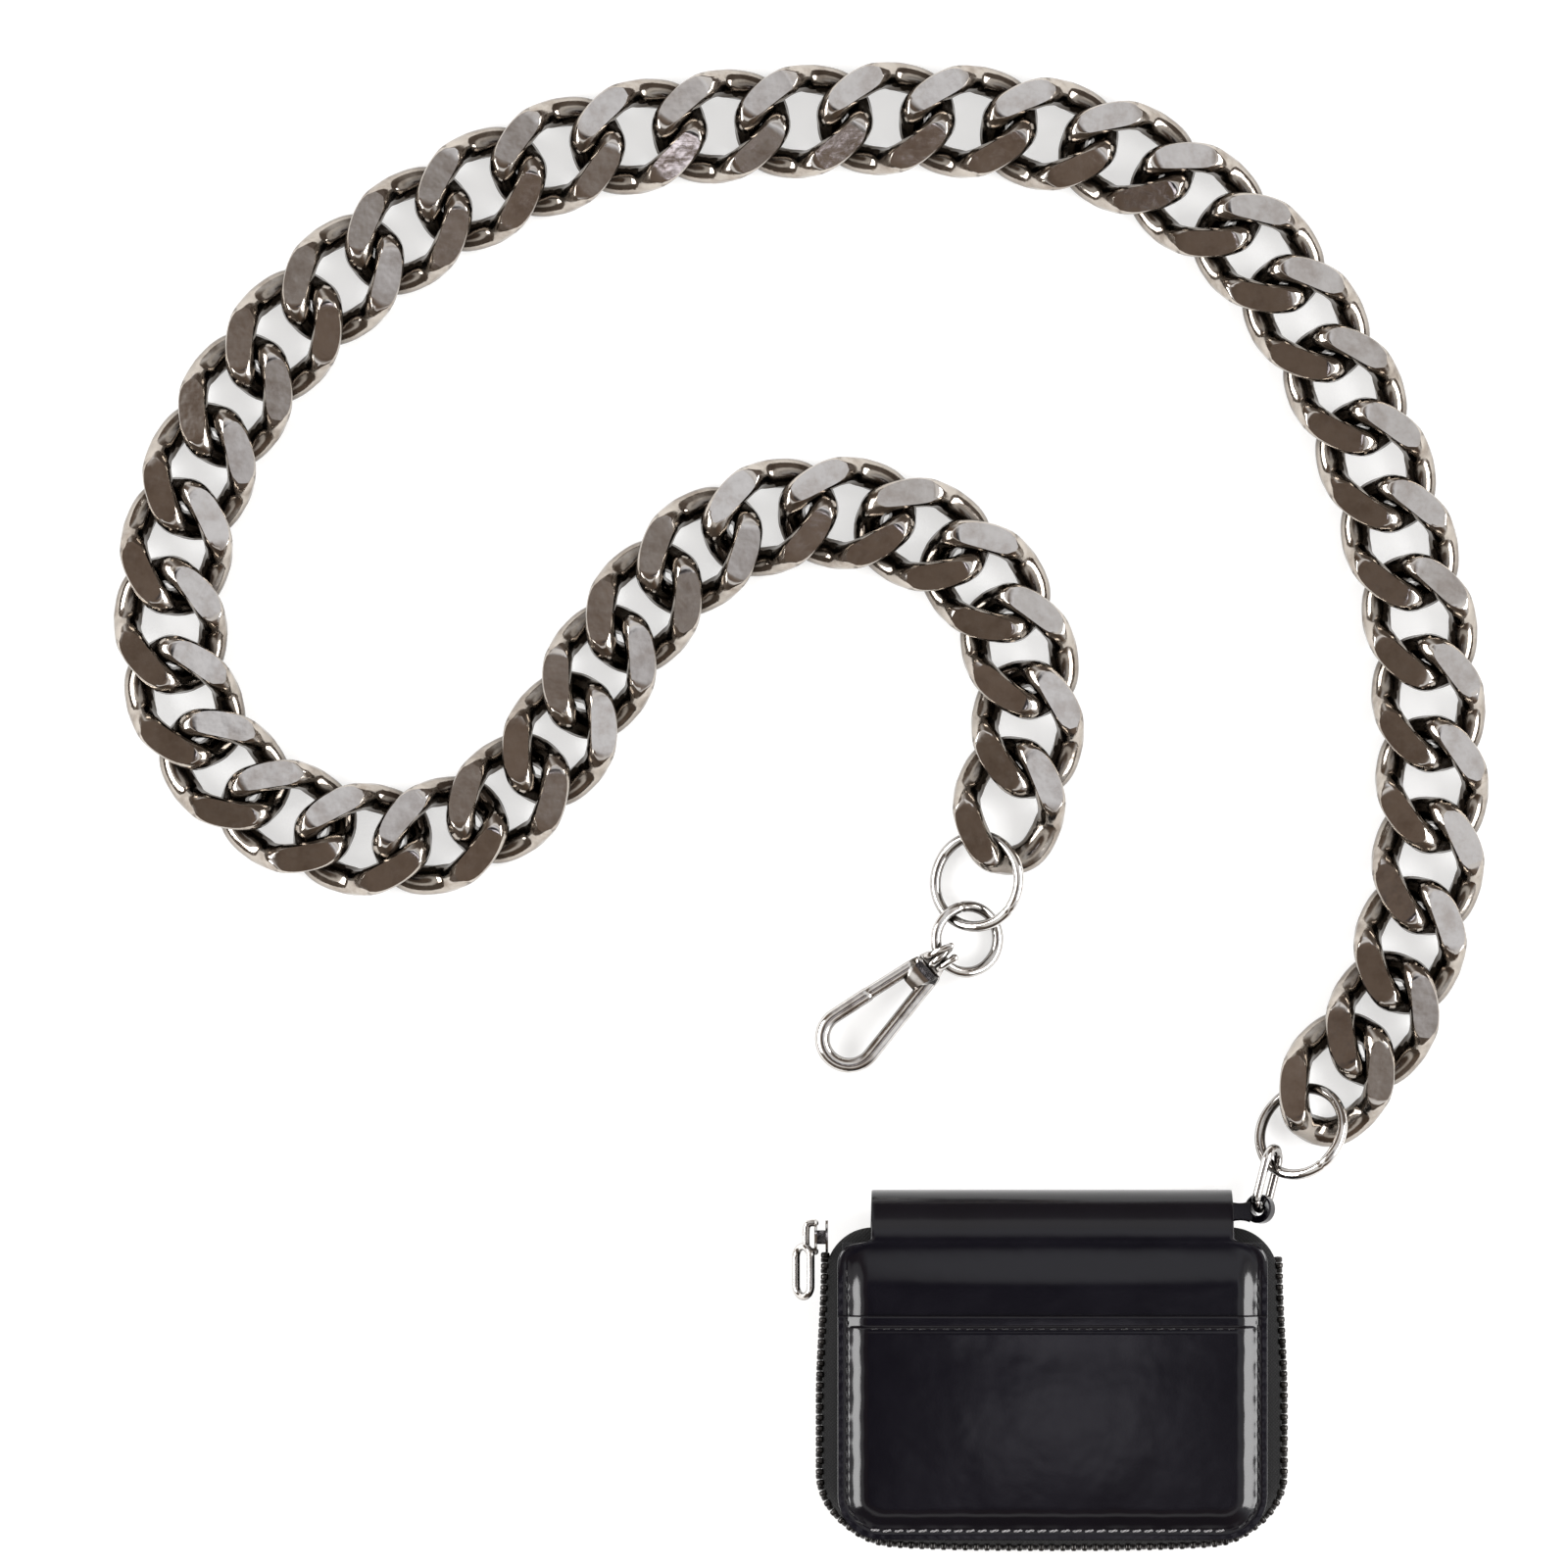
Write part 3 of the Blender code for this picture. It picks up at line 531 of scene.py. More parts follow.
def curb_link(place, tilts):
    """One diamond-cut curb link; tilts are the outward lean of its two top flats."""
    origin, heading = place
    theta = round_angles(LINK_RINGS)
    swing = TWIST_SNAP * np.sin(2 * (theta - math.radians(TWIST_LAG)))
    lift = -LINK_TWIST * np.tanh(swing) / math.tanh(TWIST_SNAP)
    power = 1.09 - 0.23 * np.sin(2 * theta)
    centre = np.stack([LINK_A * squarish(np.cos(theta), power),
                       LINK_B * squarish(np.sin(theta), power), lift], axis=1)
    wide = WIRE_W[0] + (WIRE_W[1] - WIRE_W[0]) * np.abs(lift) / LINK_TWIST
    tangent = unit_rows(neighbours_apart(centre))
    side = unit_rows(np.cross([0, 0, 1.0], tangent))
    wire = (centre, side, np.cross(tangent, side), wide)
    hand = np.clip(centre[:, 1] / HAND_FADE, -1.0, 1.0)
    slope_v = np.radians(np.where(hand > 0, tilts[0], tilts[1])) * hand
    slope_u = np.radians(np.where(hand > 0, tilts[2], tilts[3])) * np.abs(hand)
    normal = unit_rows(np.stack([np.sin(slope_u), np.sin(slope_v),
                                 np.cos(slope_u) * np.cos(slope_v)], axis=1))
    anchor = np.stack([CUT_ANCHOR[0] * hand, CUT_ANCHOR[1] * hand,
                       np.full_like(hand, LINK_CUT)], axis=1)
    under = np.tile([0.0, 0.0, -1.0], (LINK_RINGS, 1))
    top, top_mid, top_half, top_cut = cut_group(wire, normal, np.einsum("ij,ij->i", normal, anchor),
                                                CUT_POINTS)
    low, low_mid, low_half, _ = cut_group(wire, under, np.full(LINK_RINGS, LINK_CUT), UNDER_POINTS)
    spread = 0.5 - 0.5 * np.cos(np.pi * (np.arange(ARC_POINTS) + 1) / (ARC_POINTS + 1))
    left, right = (wire_section(wire, start[:, None] + (end - start)[:, None] * spread)
                   for start, end in ((top_mid + top_half, low_mid - low_half),
                                      (low_mid + low_half, top_mid - top_half + 2 * np.pi)))
    rings = np.concatenate([top, left, low, right], axis=1)
    sides = rings.shape[1]
    cut = (top_cut > CUT_MIN) | (np.roll(top_cut, -1) > CUT_MIN)
    slots = [int(flat and c < CUT_POINTS - 1) for flat in cut for c in range(sides)]
    faces = grid_faces(LINK_RINGS, sides, wrap_rows=True, wrap_columns=True)
    return rings.reshape(-1, 3) @ turn_about_z(heading).T + origin, faces, slots


def turn_about_z(angle):
    c, s = math.cos(angle), math.sin(angle)
    return np.array([[c, -s, 0], [s, c, 0], [0, 0, 1]])


def build_chain(places):
    rng = np.random.default_rng(17)
    for pair in range(LINK_COUNT // 2):
        heap = Heap()
        for place in places[2 * pair:2 * pair + 2]:
            tilts = np.array(CUT_TILTS) + rng.normal(0, 1, 4) * CUT_SPREAD
            tilts[:2] = np.clip(tilts[:2], *CUT_LIMITS)
            heap.add(*curb_link(place, tilts))
        number = "%02d" % (pair + 1)
        heap.piece("curb_links_" + number, [NICKEL, NICKEL_CUT], "chain_pair_" + number,
                   26, ["chain_pair_" + number])


# ---- Rings at the two ends ----
def tilted(direction, tilt_deg):
    """A ring's two axes: one along a level direction, one across it and tilted."""
    along = np.array(direction, dtype=float)
    along /= np.linalg.norm(along)
    level = np.array([-along[1], along[0], 0.0])
    tilt = math.radians(tilt_deg)
    return along, level * math.cos(tilt) + np.array([0, 0, math.sin(tilt)])


def ring_path(centre, radius, along, across, stretch, count, start=0.0):
    angle = start + round_angles(count)
    shift = np.where(np.cos(angle) > 0, stretch, -stretch)
    return (np.array(centre) + np.outer(radius * np.cos(angle) + shift, along)
            + np.outer(radius * np.sin(angle), across))


def heading_vector(place):
    return (math.cos(place[1]), math.sin(place[1]), 0.0)


def jump_ring(name, node_name, centre, radius, wire, direction, tilt_deg, stretch, start, seed):
    """A bent wire ring: hand-closed, so a little uneven, with a butt joint."""
    along, across = tilted(direction, tilt_deg)
    path = ring_path(centre, radius, along, across, stretch, JUMP_RING_POINTS, start)
    turn = 2 * np.pi * np.arange(JUMP_RING_POINTS) / JUMP_RING_POINTS
    bend = 0.10 * np.sin(2 * turn + seed) + 0.05 * np.sin(5 * turn)
    path = path + np.outer(bend, np.cross(along, across))
    body = wire * (1.0 + 0.025 * np.sin(3 * turn + seed) + 0.015 * np.sin(7 * turn))
    body[0] *= JOINT_PINCH
    path[:, 2] = np.maximum(path[:, 2], body + TABLE_GAP)
    verts, faces = tube(path, body, 18, True)
    add_piece(name, verts, faces, [STEEL], node_name, replaced=[node_name])


OVAL_CENTRE = (52.9, 46.2, 8.6)
OVAL_DIRECTION = (0.25, 1.0, 0.0)
OVAL_TILT = 62
OVAL_END_R = 3.4
OVAL_STRETCH = 4.2
WALLET_RING_CENTRE = (61.2, 57.8, 8.6)
END_RING_CENTRE = (-18.2, 119.1, 6.0)
SMALL_RING_CENTRE = (-20.6, 104.8, 4.3)
BIG_RING_R = 11.2
JUMP_RING_POINTS = 120
JOINT_PINCH = 0.84  # the wire's size at the butt joint
TABLE_GAP = 0.05


def build_rings(places):
    gap = np.array(SMALL_RING_CENTRE) - np.array(END_RING_CENTRE)
    first, last = heading_vector(places[0]), heading_vector(places[-1])
    for row in (("oval_wire_link", "oval_link", OVAL_CENTRE, OVAL_END_R, 1.12,
                 OVAL_DIRECTION, OVAL_TILT, OVAL_STRETCH, 2.0, 3),
                ("wallet_jump_ring", "wallet_ring", WALLET_RING_CENTRE, BIG_RING_R, 1.32,
                 first, -36, 0.0, 4.4, 1),
                ("end_jump_ring", "end_ring", END_RING_CENTRE, BIG_RING_R, 1.32,
                 last, 26, 0.0, 1.1, 5),
                ("small_jump_ring", "small_ring", SMALL_RING_CENTRE, 8.1, 1.34,
                 (gap[0], gap[1], 0.0), -20, 0.0, 3.5, 2)):
        jump_ring(*row)


# ---- Snap hook ----
HOOK_HEADING = math.radians(222)
HOOK_NECK = np.array([-29.6, 98.4, 4.2])
BULB_X = 26.8
BULB_R = 6.6
LEG_Y = 2.5
SEAM_X = 16.0  # where the gate meets the nose
SEAM_GAP = 0.35
PIN_X = 1.2
HOOK_WIRE = 1.85
HOOK_STEP = 0.8
NECK_SECTIONS = [  # x, half width, half height, corner cut
    (-2.5, 2.0, 1.4, 0.7), (-2.0, 2.9, 2.1, 0.9), (0.2, 3.7, 2.6, 1.1), (0.5, 3.2, 2.2, 1.0),
    (0.9, 3.8, 2.6, 1.2), (2.6, 4.3, 2.7, 1.7), (4.4, 4.0, 2.4, 1.9), (6.2, 2.8, 1.7, 1.2),
    (7.2, 1.6, 1.0, 0.6)]
RIVET_PROFILE = [(0.0, 2.62), (0.5, 2.6), (0.85, 2.5), (0.95, 2.36), (0.95, 2.0)]


def hook_points(points):
    """From the hook's own axes (x along it, y to its left) to the world."""
    points = np.atleast_2d(np.asarray(points, dtype=float))
    if points.shape[1] == 2:
        points = np.column_stack([points, np.zeros(len(points))])
    return points @ turn_about_z(HOOK_HEADING).T + HOOK_NECK


def dense_line(points, step):
    points = np.asarray(points, dtype=float)
    out = [points[0]]
    for a, b in zip(points, points[1:]):
        count = max(1, int(math.ceil(np.linalg.norm(b - a) / step)))
        out.extend(a + (b - a) * (k + 1) / count for k in range(count))
    return np.array(out)


def chamfered(half_y, half_z, cut):
    """An eight-sided section: a rectangle with its corners cut."""
    return [(half_y, -half_z + cut), (half_y, half_z - cut), (half_y - cut, half_z),
            (-half_y + cut, half_z), (-half_y, half_z - cut), (-half_y, -half_z + cut),
            (-half_y + cut, -half_z), (half_y - cut, -half_z)]


def build_hook():
    lean = math.acos((BULB_R - LEG_Y) / BULB_X)
    angles = np.linspace(math.pi - lean, -math.pi + lean, 60)
    bulb = np.stack([BULB_X + BULB_R * np.cos(angles), BULB_R * np.sin(angles)], axis=1)
    nose_x = SEAM_X + SEAM_GAP
    nose_y = -LEG_Y + (bulb[-1][1] + LEG_Y) * nose_x / bulb[-1][0]
    first = dense_line([(1.5, LEG_Y), bulb[0]], HOOK_STEP)[:-1]
    last = dense_line([bulb[-1], (nose_x, nose_y)], HOOK_STEP)[1:]
    heap = Heap()
    heap.add(*tube(hook_points(np.vstack([first, bulb, last])), HOOK_WIRE, 24))
    heap.add(*loft([hook_points([(x, y, z) for y, z in chamfered(half_y, half_z, cut)])
                    for x, half_y, half_z, cut in NECK_SECTIONS]))
    heading = (math.cos(HOOK_HEADING), math.sin(HOOK_HEADING), 0.0)
    eye = ring_path(hook_points((-3.3, 0, 1.5))[0], 3.0, np.array(heading), np.array([0, 0, 1.0]), 0, 48)
    heap.add(*tube(eye, 0.95, 14, True))
    ball = [(-1.2, 1.9, 3.0), (-2.4, 2.1, 4.2), (-4.2, 2.35, 4.9), (-5.6, 2.5, 5.0)]
    prong = [(-1.0, -2.3, 2.6), (-2.6, -1.7, 4.4), (-5.2, -0.9, 5.4), (-7.0, -0.3, 5.4)]
    heap.add(*tube(hook_points(ball), [0.85, 0.85, 0.8, 1.0], 12))
    heap.add(*tube(hook_points(prong), [0.9, 0.85, 0.85, 0.8], 12, square=0.8))
    heap.piece("snap_hook_body", [STEEL], "hook", 32, ["hook_body", "gate_pin"])

    tip_y = -LEG_Y + (nose_y + LEG_Y) * SEAM_X / nose_x
    gate = Heap()
    line = dense_line([(PIN_X, -LEG_Y), (SEAM_X - SEAM_GAP, tip_y)], HOOK_STEP)
    gate_wire = np.interp(np.arange(len(line)), [0, 3, len(line) - 1], [1.1, 1.6, 1.68])
    gate.add(*tube(hook_points(line), gate_wire, 20))
    gate.piece("snap_hook_gate", [STEEL], "gate", 32, ["hook_gate"])
    rivet = Heap()
    turn = np.linspace(0, 2 * np.pi, 20, endpoint=False)
    for sign in (1, -1):
        rivet.add(*loft([hook_points(np.stack([PIN_X + r * np.cos(turn), -LEG_Y + r * np.sin(turn),
                                               np.full(20, sign * z)], axis=1))
                         for r, z in RIVET_PROFILE]))
    rivet.piece("snap_hook_rivet", [STEEL], "hook", 40)


# ---- Leather panels ----
EDGE_STEPS = [0.0, 0.18, 0.45, 0.8, 1.2, 1.6, 1.95, 2.3, 2.65, 3.0, 3.5, 4.1, 4.8, 5.6, 6.5, 7.6]
STITCH_IN = 2.3
STITCH_PITCH = 2.9
SEAM_STEP = 0.25
SEAM_TOP_Y = 25.0
SIDE_ROWS_TOP = 25.6
ROW_STEP = 0.8
PANEL_COLUMNS = 56


def panel_half_width(y, inset=0.0):
    """Half width of the wallet's panel at each y, shoulders and spine included."""
    y = np.asarray(y, dtype=float)
    half = HALF_WIDTH - inset
    low = BOTTOM_Y + inset
    corner = CORNER_R - inset
    width = np.full_like(y, half)
    depth = np.clip(low + corner - y, 0.0, corner)
    width -= corner - np.sqrt(np.maximum(corner ** 2 - depth ** 2, 0.0))
    rise = np.clip(y - (SHOULDER_Y - SHOULDER_R), 0.0, SHOULDER_R)
    width -= SHOULDER_R - np.sqrt(np.maximum(SHOULDER_R ** 2 - rise ** 2, 0.0))
    notch = smoothstep(y, SHOULDER_Y - 0.6, SHOULDER_Y + 0.9)
    return width * (1 - notch) + (SPINE_HALF_WIDTH - inset) * notch


def edge_distance(x, y):
    """How far inside the panel's outline a point is; the top side is open."""
    x, y = np.abs(np.asarray(x, dtype=float)), np.asarray(y, dtype=float)
    qx = x - (HALF_WIDTH - CORNER_R)
    qy = (BOTTOM_Y + CORNER_R) - y
    outside = np.hypot(np.maximum(qx, 0), np.maximum(qy, 0))
    inside = np.minimum(np.maximum(qx, qy), 0)
    return CORNER_R - outside - inside


def cover_edge_distance(x, y):
    """The same, with the shoulders and the spine's sides."""
    return np.minimum(edge_distance(x, y), panel_half_width(y) - np.abs(x))


def wobble(s, seed):
    return (0.5 * np.sin(0.83 * s + seed) + 0.3 * np.sin(0.31 * s + 2.1 * seed)
            + 0.2 * np.sin(1.9 * s + 0.7 * seed))


def stitch_phase(x, y):
    """Distance along the seam: up the sides, and across the bottom."""
    side = (HALF_WIDTH - np.abs(x)) < (y - BOTTOM_Y)
    return np.where(side, y, x)


def sewn_relief(x, y, e, rise, roll, seed):
    """Height of a sewn panel above its border: groove, puckers and padded middle."""
    s = stitch_phase(x, y)
    pull = 0.5 + 0.5 * np.cos(2 * np.pi * s / STITCH_PITCH)
    uneven = wobble(s, seed)
    start = 2.7 + 0.10 * uneven
    middle = smoothstep(e, start, start + roll * (1 + 0.04 * uneven))
    pucker = 0.03 * pull * np.exp(-((e - 3.1) / 0.6) ** 2)
    groove = np.exp(-((e - STITCH_IN) / 0.45) ** 2) * (0.22 + 0.22 * pull)
    border = -0.06 * pull * np.exp(-((e - 1.1) / 0.6) ** 2)
    return rise * middle - pucker - groove + border


def panel_grid(rows_y, inset=0.0):
    """x and y of a panel's grid; columns keep their distance from the side edges."""
    x = np.array([across_row(w, PANEL_COLUMNS) for w in panel_half_width(rows_y, inset)])
    return x, np.repeat(rows_y[:, None], x.shape[1], axis=1)


def across_row(half, count):
    """x of one row's columns: close together near both sides."""
    edges = np.array(EDGE_STEPS)
    inner = np.linspace(-1, 1, count)[1:-1] * (half - edges[-1])
    return np.concatenate([-(half - edges), inner, (half - edges)[::-1]])


def rows_between(low, high, dense_high=False):
    edges = np.array(EDGE_STEPS)
    start = low + edges
    end = high - edges[::-1] if dense_high else np.array([high])
    middle = np.arange(start[-1] + ROW_STEP, end[0] - 0.4 * ROW_STEP, ROW_STEP)
    return np.concatenate([start, middle, end])


BASE_Z = 22.0
BACK_Z = 0.82
FRONT_RELIEF = (1.5, 4.2, 1.3)  # rise, width of the roll, seed
BACK_RELIEF = (0.8, 3.6, 4.2)
POCKET_LIFT = 1.15
HEM_Y = 10.1
SPINE_Y, SPINE_Z = 31.3, 11.25  # centre of the spine's turn
SPINE_R_Y, SPINE_R_Z = 12.35, 11.2


def front_height(x, y):
    """Outer face of the front leather, before the spine's turn."""
    relief = sewn_relief(x, y, cover_edge_distance(x, y), *FRONT_RELIEF)
    crown = 1.0 * (1 - (x / HALF_WIDTH) ** 2) * (1 - np.clip((y + 8) / 42, -1, 1) ** 2)
    return BASE_Z + relief + crown


def pocket_height(x, y):
    """Outer face of the pocket: its hem, the crease under it, and a slight bow."""
    lift = POCKET_LIFT * smoothstep(POCKET_Y - y + 0.2, -0.2, 0.5)
    e = edge_distance(x, y)
    hem = 0.22 * smoothstep(y, HEM_Y + 0.1, HEM_Y + 0.6)
    puckers = 0.7 + 0.3 * np.cos(2 * np.pi * x / STITCH_PITCH)
    crease = 0.34 * np.exp(-((y - HEM_Y) / 0.35) ** 2) * puckers
    crease = crease * smoothstep(e, 2.4, 4.5)
    bow = 0.25 * (1 - (x / HALF_WIDTH) ** 2) * np.exp(-((y - POCKET_Y) / 7.0) ** 2)
    return front_height(x, y) + lift + (hem - crease) * smoothstep(e, 1.5, 4.0) + bow


def build_wrap():
    """Front leather and spine in one skin, curved round the spine where the cover opens."""
    front_rows = np.concatenate([rows_between(BOTTOM_Y, SIDE_ROWS_TOP), np.arange(26.1, 31.4, 0.4)])
    x, y = panel_grid(front_rows)
    fade = smoothstep(y, 20.0, 31.4)
    edge = smoothstep(panel_half_width(y) - np.abs(x), 0, 1.0)
    z = front_height(x, y) * (1 - fade) + fade * (22.45 - 0.5 * (1 - edge))
    rows = []
    for angle in np.radians(np.concatenate([np.arange(87, -78, -5.0), [-78.0]])):
        half = SPINE_HALF_WIDTH - 0.25 * math.cos(angle)
        xs = across_row(half, PANEL_COLUMNS)
        lip = -0.12 * (1 - smoothstep(half - np.abs(xs), 0.0, 0.6))
        rows.append(np.stack([xs, SPINE_Y + (SPINE_R_Y + lip) * math.cos(angle),
                              SPINE_Z + (SPINE_R_Z + lip) * math.sin(angle)], axis=1))
    obj = sheet("leather_wrap", np.concatenate([np.stack([x, y, z], axis=2), np.array(rows)]),
                [LEATHER, EDGE_PAINT], None, ["front_cover", "spine"], 1.0, 1.35)
    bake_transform(obj)


def build_pocket():
    x, y = panel_grid(rows_between(BOTTOM_Y + 0.12, POCKET_Y, True), 0.12)
    z = pocket_height(x, y)
    z -= 0.12 * (1 - smoothstep(POCKET_Y - y, 0.0, 0.3))
    sheet("leather_pocket", np.stack([x, y, z], axis=2), [LEATHER, EDGE_PAINT], "front_half",
          ["front_pocket"], 1.0, 1.0)


def build_back():
    rows = np.concatenate([rows_between(BOTTOM_Y, SIDE_ROWS_TOP), np.arange(26.1, 33.6, 0.5), [33.85]])
    x, y = panel_grid(rows)
    z = BACK_Z - sewn_relief(x, y, cover_edge_distance(x, y), *BACK_RELIEF)
    fade = smoothstep(y, 29.0, 32.5)
    z = np.maximum(z * (1 - fade) + 0.15 * fade, 0.02)
    sheet("leather_back", np.stack([x, y, z], axis=2), [LEATHER, EDGE_PAINT], "back_half",
          ["back_cover"], -1.0, 1.3)


def round_u(left, bottom, half, low, corner, arc_points):
    """A side and a bottom joined by a round corner, then mirrored to a whole U."""
    angle = np.linspace(np.pi, 1.5 * np.pi, arc_points)
    arc = np.stack([-(half - corner) + corner * np.cos(angle),
                    low + corner + corner * np.sin(angle)], axis=1)
    return np.concatenate([left, arc[1:], bottom[1:], arc[::-1][1:] * (-1, 1),
                           left[::-1][1:] * (-1, 1)])


def seam_path(inset, top):
    """U-shaped line a fixed distance inside the panel's outline."""
    half, low, corner = HALF_WIDTH - inset, BOTTOM_Y + inset, CORNER_R - inset
    left = dense_line([(-half, top), (-half, low + corner)], SEAM_STEP)
    bottom = dense_line([(-(half - corner), low), (half - corner, low)], SEAM_STEP)
    return round_u(left, bottom, half, low, corner, int(corner * 1.57 / SEAM_STEP) + 2)


def spaced(path, pitch, phase=0.0):
    """Points every pitch along a 2-D path, with the direction at each."""
    run = run_along(path)
    count = int((run[-1] - phase) / pitch)
    at = phase + pitch * (np.arange(count) + 0.5)
    ahead, behind = points_at(at + 0.3, run, path), points_at(at - 0.3, run, path)
    return points_at(at, run, path), unit_rows(ahead - behind)


def stitches(name, path, height, body, length=2.1, radius=0.27, slant=0.16, sign=1.0,
             pitch=STITCH_PITCH, thread=THREAD):
    """Separate stitches along a seam; each dives into the leather at both ends."""
    heap = Heap()
    t = np.linspace(-1, 1, 7)
    c, s = math.cos(slant), math.sin(slant)
    for (px, py), (dx, dy) in zip(*spaced(path, pitch)):
        dx, dy = dx * c - dy * s, dx * s + dy * c
        xs = px + dx * t * length / 2
        ys = py + dy * t * length / 2
        zs = float(np.mean(height(xs, ys))) + sign * (radius * 0.75 - 0.55 * t ** 4)
        heap.add(*tube(np.stack([xs, ys, zs], axis=1), radius, 7, caps=False))
    heap.piece(name, [thread], body)


def back_seam_height(x, y):
    return BACK_Z - sewn_relief(x, y, edge_distance(x, y), *BACK_RELIEF)


def build_stitches():
    seam = seam_path(STITCH_IN, SEAM_TOP_Y)
    level = seam[:, 1] < BOTTOM_Y + STITCH_IN + 0.6
    for part, height, kept in (("front", front_height, seam[:, 1] > POCKET_Y + 0.5),
                               ("pocket", pocket_height, (seam[:, 1] < POCKET_Y - 0.5) & ~level)):
        for side, sign in (("left", -1), ("right", 1)):
            stitches("stitches_%s_%s" % (part, side), seam[kept & (sign * seam[:, 0] > 0)], height,
                     "front_half")
    # The bottom stitches use the paler copy of the thread, a painted highlight.
    stitches("stitches_bottom", seam[level], pocket_height, "front_half", radius=0.3, thread=THREAD_PAINTED_HIGHLIGHT)
    hem = dense_line([(-47.8, HEM_Y), (47.8, HEM_Y)], 0.5)
    stitches("stitches_pocket_hem", hem, pocket_height, "front_half", 2.0, 0.2, 0.05)
    stitches("stitches_back", seam, back_seam_height, "back_half", sign=-1.0)


# ---- Zip ----
def u_path(half, low, corner, top):
    """Open U with a fixed number of points, so that two of them can be skinned."""
    left = np.stack([np.full(90, -half), np.linspace(top, low + corner, 90)], axis=1)
    bottom = np.stack([np.linspace(-(half - corner), half - corner, 110), np.full(110, low)], axis=1)
    return round_u(left, bottom, half, low, corner, 34)


def bulged(path):
    """The zip narrows towards its ends and its bottom corners hang a little higher."""
    x, y = path[:, 0], path[:, 1]
    lifted = y + 1.8 * np.clip(np.abs(x) / 50, 0, 1) ** 3 * (1 - smoothstep(y, -42.0, -18.0))
    return np.stack([x * (1.0 - 0.022 * smoothstep(y, -8.0, 26.0)), lifted], axis=1)


def shoulder_tail(end, inner):
    """Where the tape leaves the teeth and runs along the shoulder to the spine."""
    share = np.linspace(0, 1, 22)[1:]
    inward = np.sign(end[0]) * (abs(end[0]) - TAIL_END_X)
    if inner:
        return np.stack([end[0] - inward * share, end[1] + 4.0 * share ** 0.7], axis=1)
    return np.stack([end[0] - inward * share ** 1.6,
                     end[1] + 9.4 * np.sin(share * np.pi / 2)], axis=1)


def tape_paths():
    outer = bulged(u_path(ZIP_HALF_WIDTH - 0.2, ZIP_BOTTOM_Y + 0.2, 17.0, SEAM_TOP_Y))
    inner = u_path(HALF_WIDTH - 1.6, BOTTOM_Y + 1.6, 9.4, SEAM_TOP_Y)
    return [np.concatenate([shoulder_tail(path[0], is_inner)[::-1], path,
                            shoulder_tail(path[-1], is_inner)])
            for path, is_inner in ((outer, False), (inner, True))]


TAIL_END_X = 43.3
TOOTH_PITCH = 2.65
TOOTH_LEVELS = [(0.0, 0.15), (0.04, 0.62), (0.22, 0.95), (0.55, 1.0), (0.82, 0.82), (1.0, 0.5)]
PULL_OUT = 1.2
PULL_LEAN = 42
PULL_R = 2.7
PULL_WIRE = 0.95
BAIL_WIRE = 0.9
TAB_ROOT_X = 43.6
TAB_SECTION = [(1.85, -1.3), (2.2, -1.6), (3.2, -1.6), (3.6, -1.2), (3.62, 0.0), (3.6, 1.2),
               (3.2, 1.6), (2.2, 1.6), (1.85, 1.3)]
TAPE_SECTION = [(0.0, 1.0), (0.02, 1.5), (0.06, 2.25), (0.14, 3.3), (0.25, 4.4), (0.4, 5.6),
                (0.56, 6.7), (0.72, 7.5), (0.86, 8.1), (1.0, 8.4)]


def build_zip():
    outer, inner = tape_paths()
    for sign, half, body, node_name in ((1, "front", "front_half", "zip_tape_front"),
                                        (-1, "back", "back_half", "zip_tape_back")):
        rows = []
        for share, lift in TAPE_SECTION:
            line = outer * (1 - share) + inner * share
            rows.append(np.column_stack([line, np.full(len(line), ZIP_MID_Z + sign * (lift + 0.25))]))
        sheet("tape_" + half, np.array(rows), [TAPE], body, [node_name], sign, 0.55)
        build_teeth(sign, half, body)


def tooth(centre, out, along, z_mid, z_tip):
    """One tooth: a rounded block clamped on the tape, narrowing to its nib."""
    angle = round_angles(10)
    ca, sa = squarish(np.cos(angle), 0.6), squarish(np.sin(angle), 0.6)
    rings = []
    for share, grow in TOOTH_LEVELS:
        ring = (centre[None, :] + out[None, :] * (1.12 * grow * ca)[:, None]
                + along[None, :] * (0.78 * grow * sa)[:, None])
        rings.append(np.column_stack([ring, np.full(10, z_mid * (1 - share) + z_tip * share)]))
    return loft(rings)


def build_teeth(sign, half, body):
    path = bulged(u_path(ZIP_HALF_WIDTH + 0.25, ZIP_BOTTOM_Y - 0.25, 17.5, 29.0))
    heap = Heap()
    for centre, along in zip(*spaced(path, TOOTH_PITCH, 0.0 if sign > 0 else 1.32)):
        out = np.array([along[1], -along[0]])
        if out.dot(centre) < 0:
            out = -out
        heap.add(*tooth(centre, out, along, ZIP_MID_Z + sign * 3.0, ZIP_MID_Z + sign * 0.62))
    heap.piece("teeth_" + half, [TEETH], body, 50, ["zip_teeth_" + half])


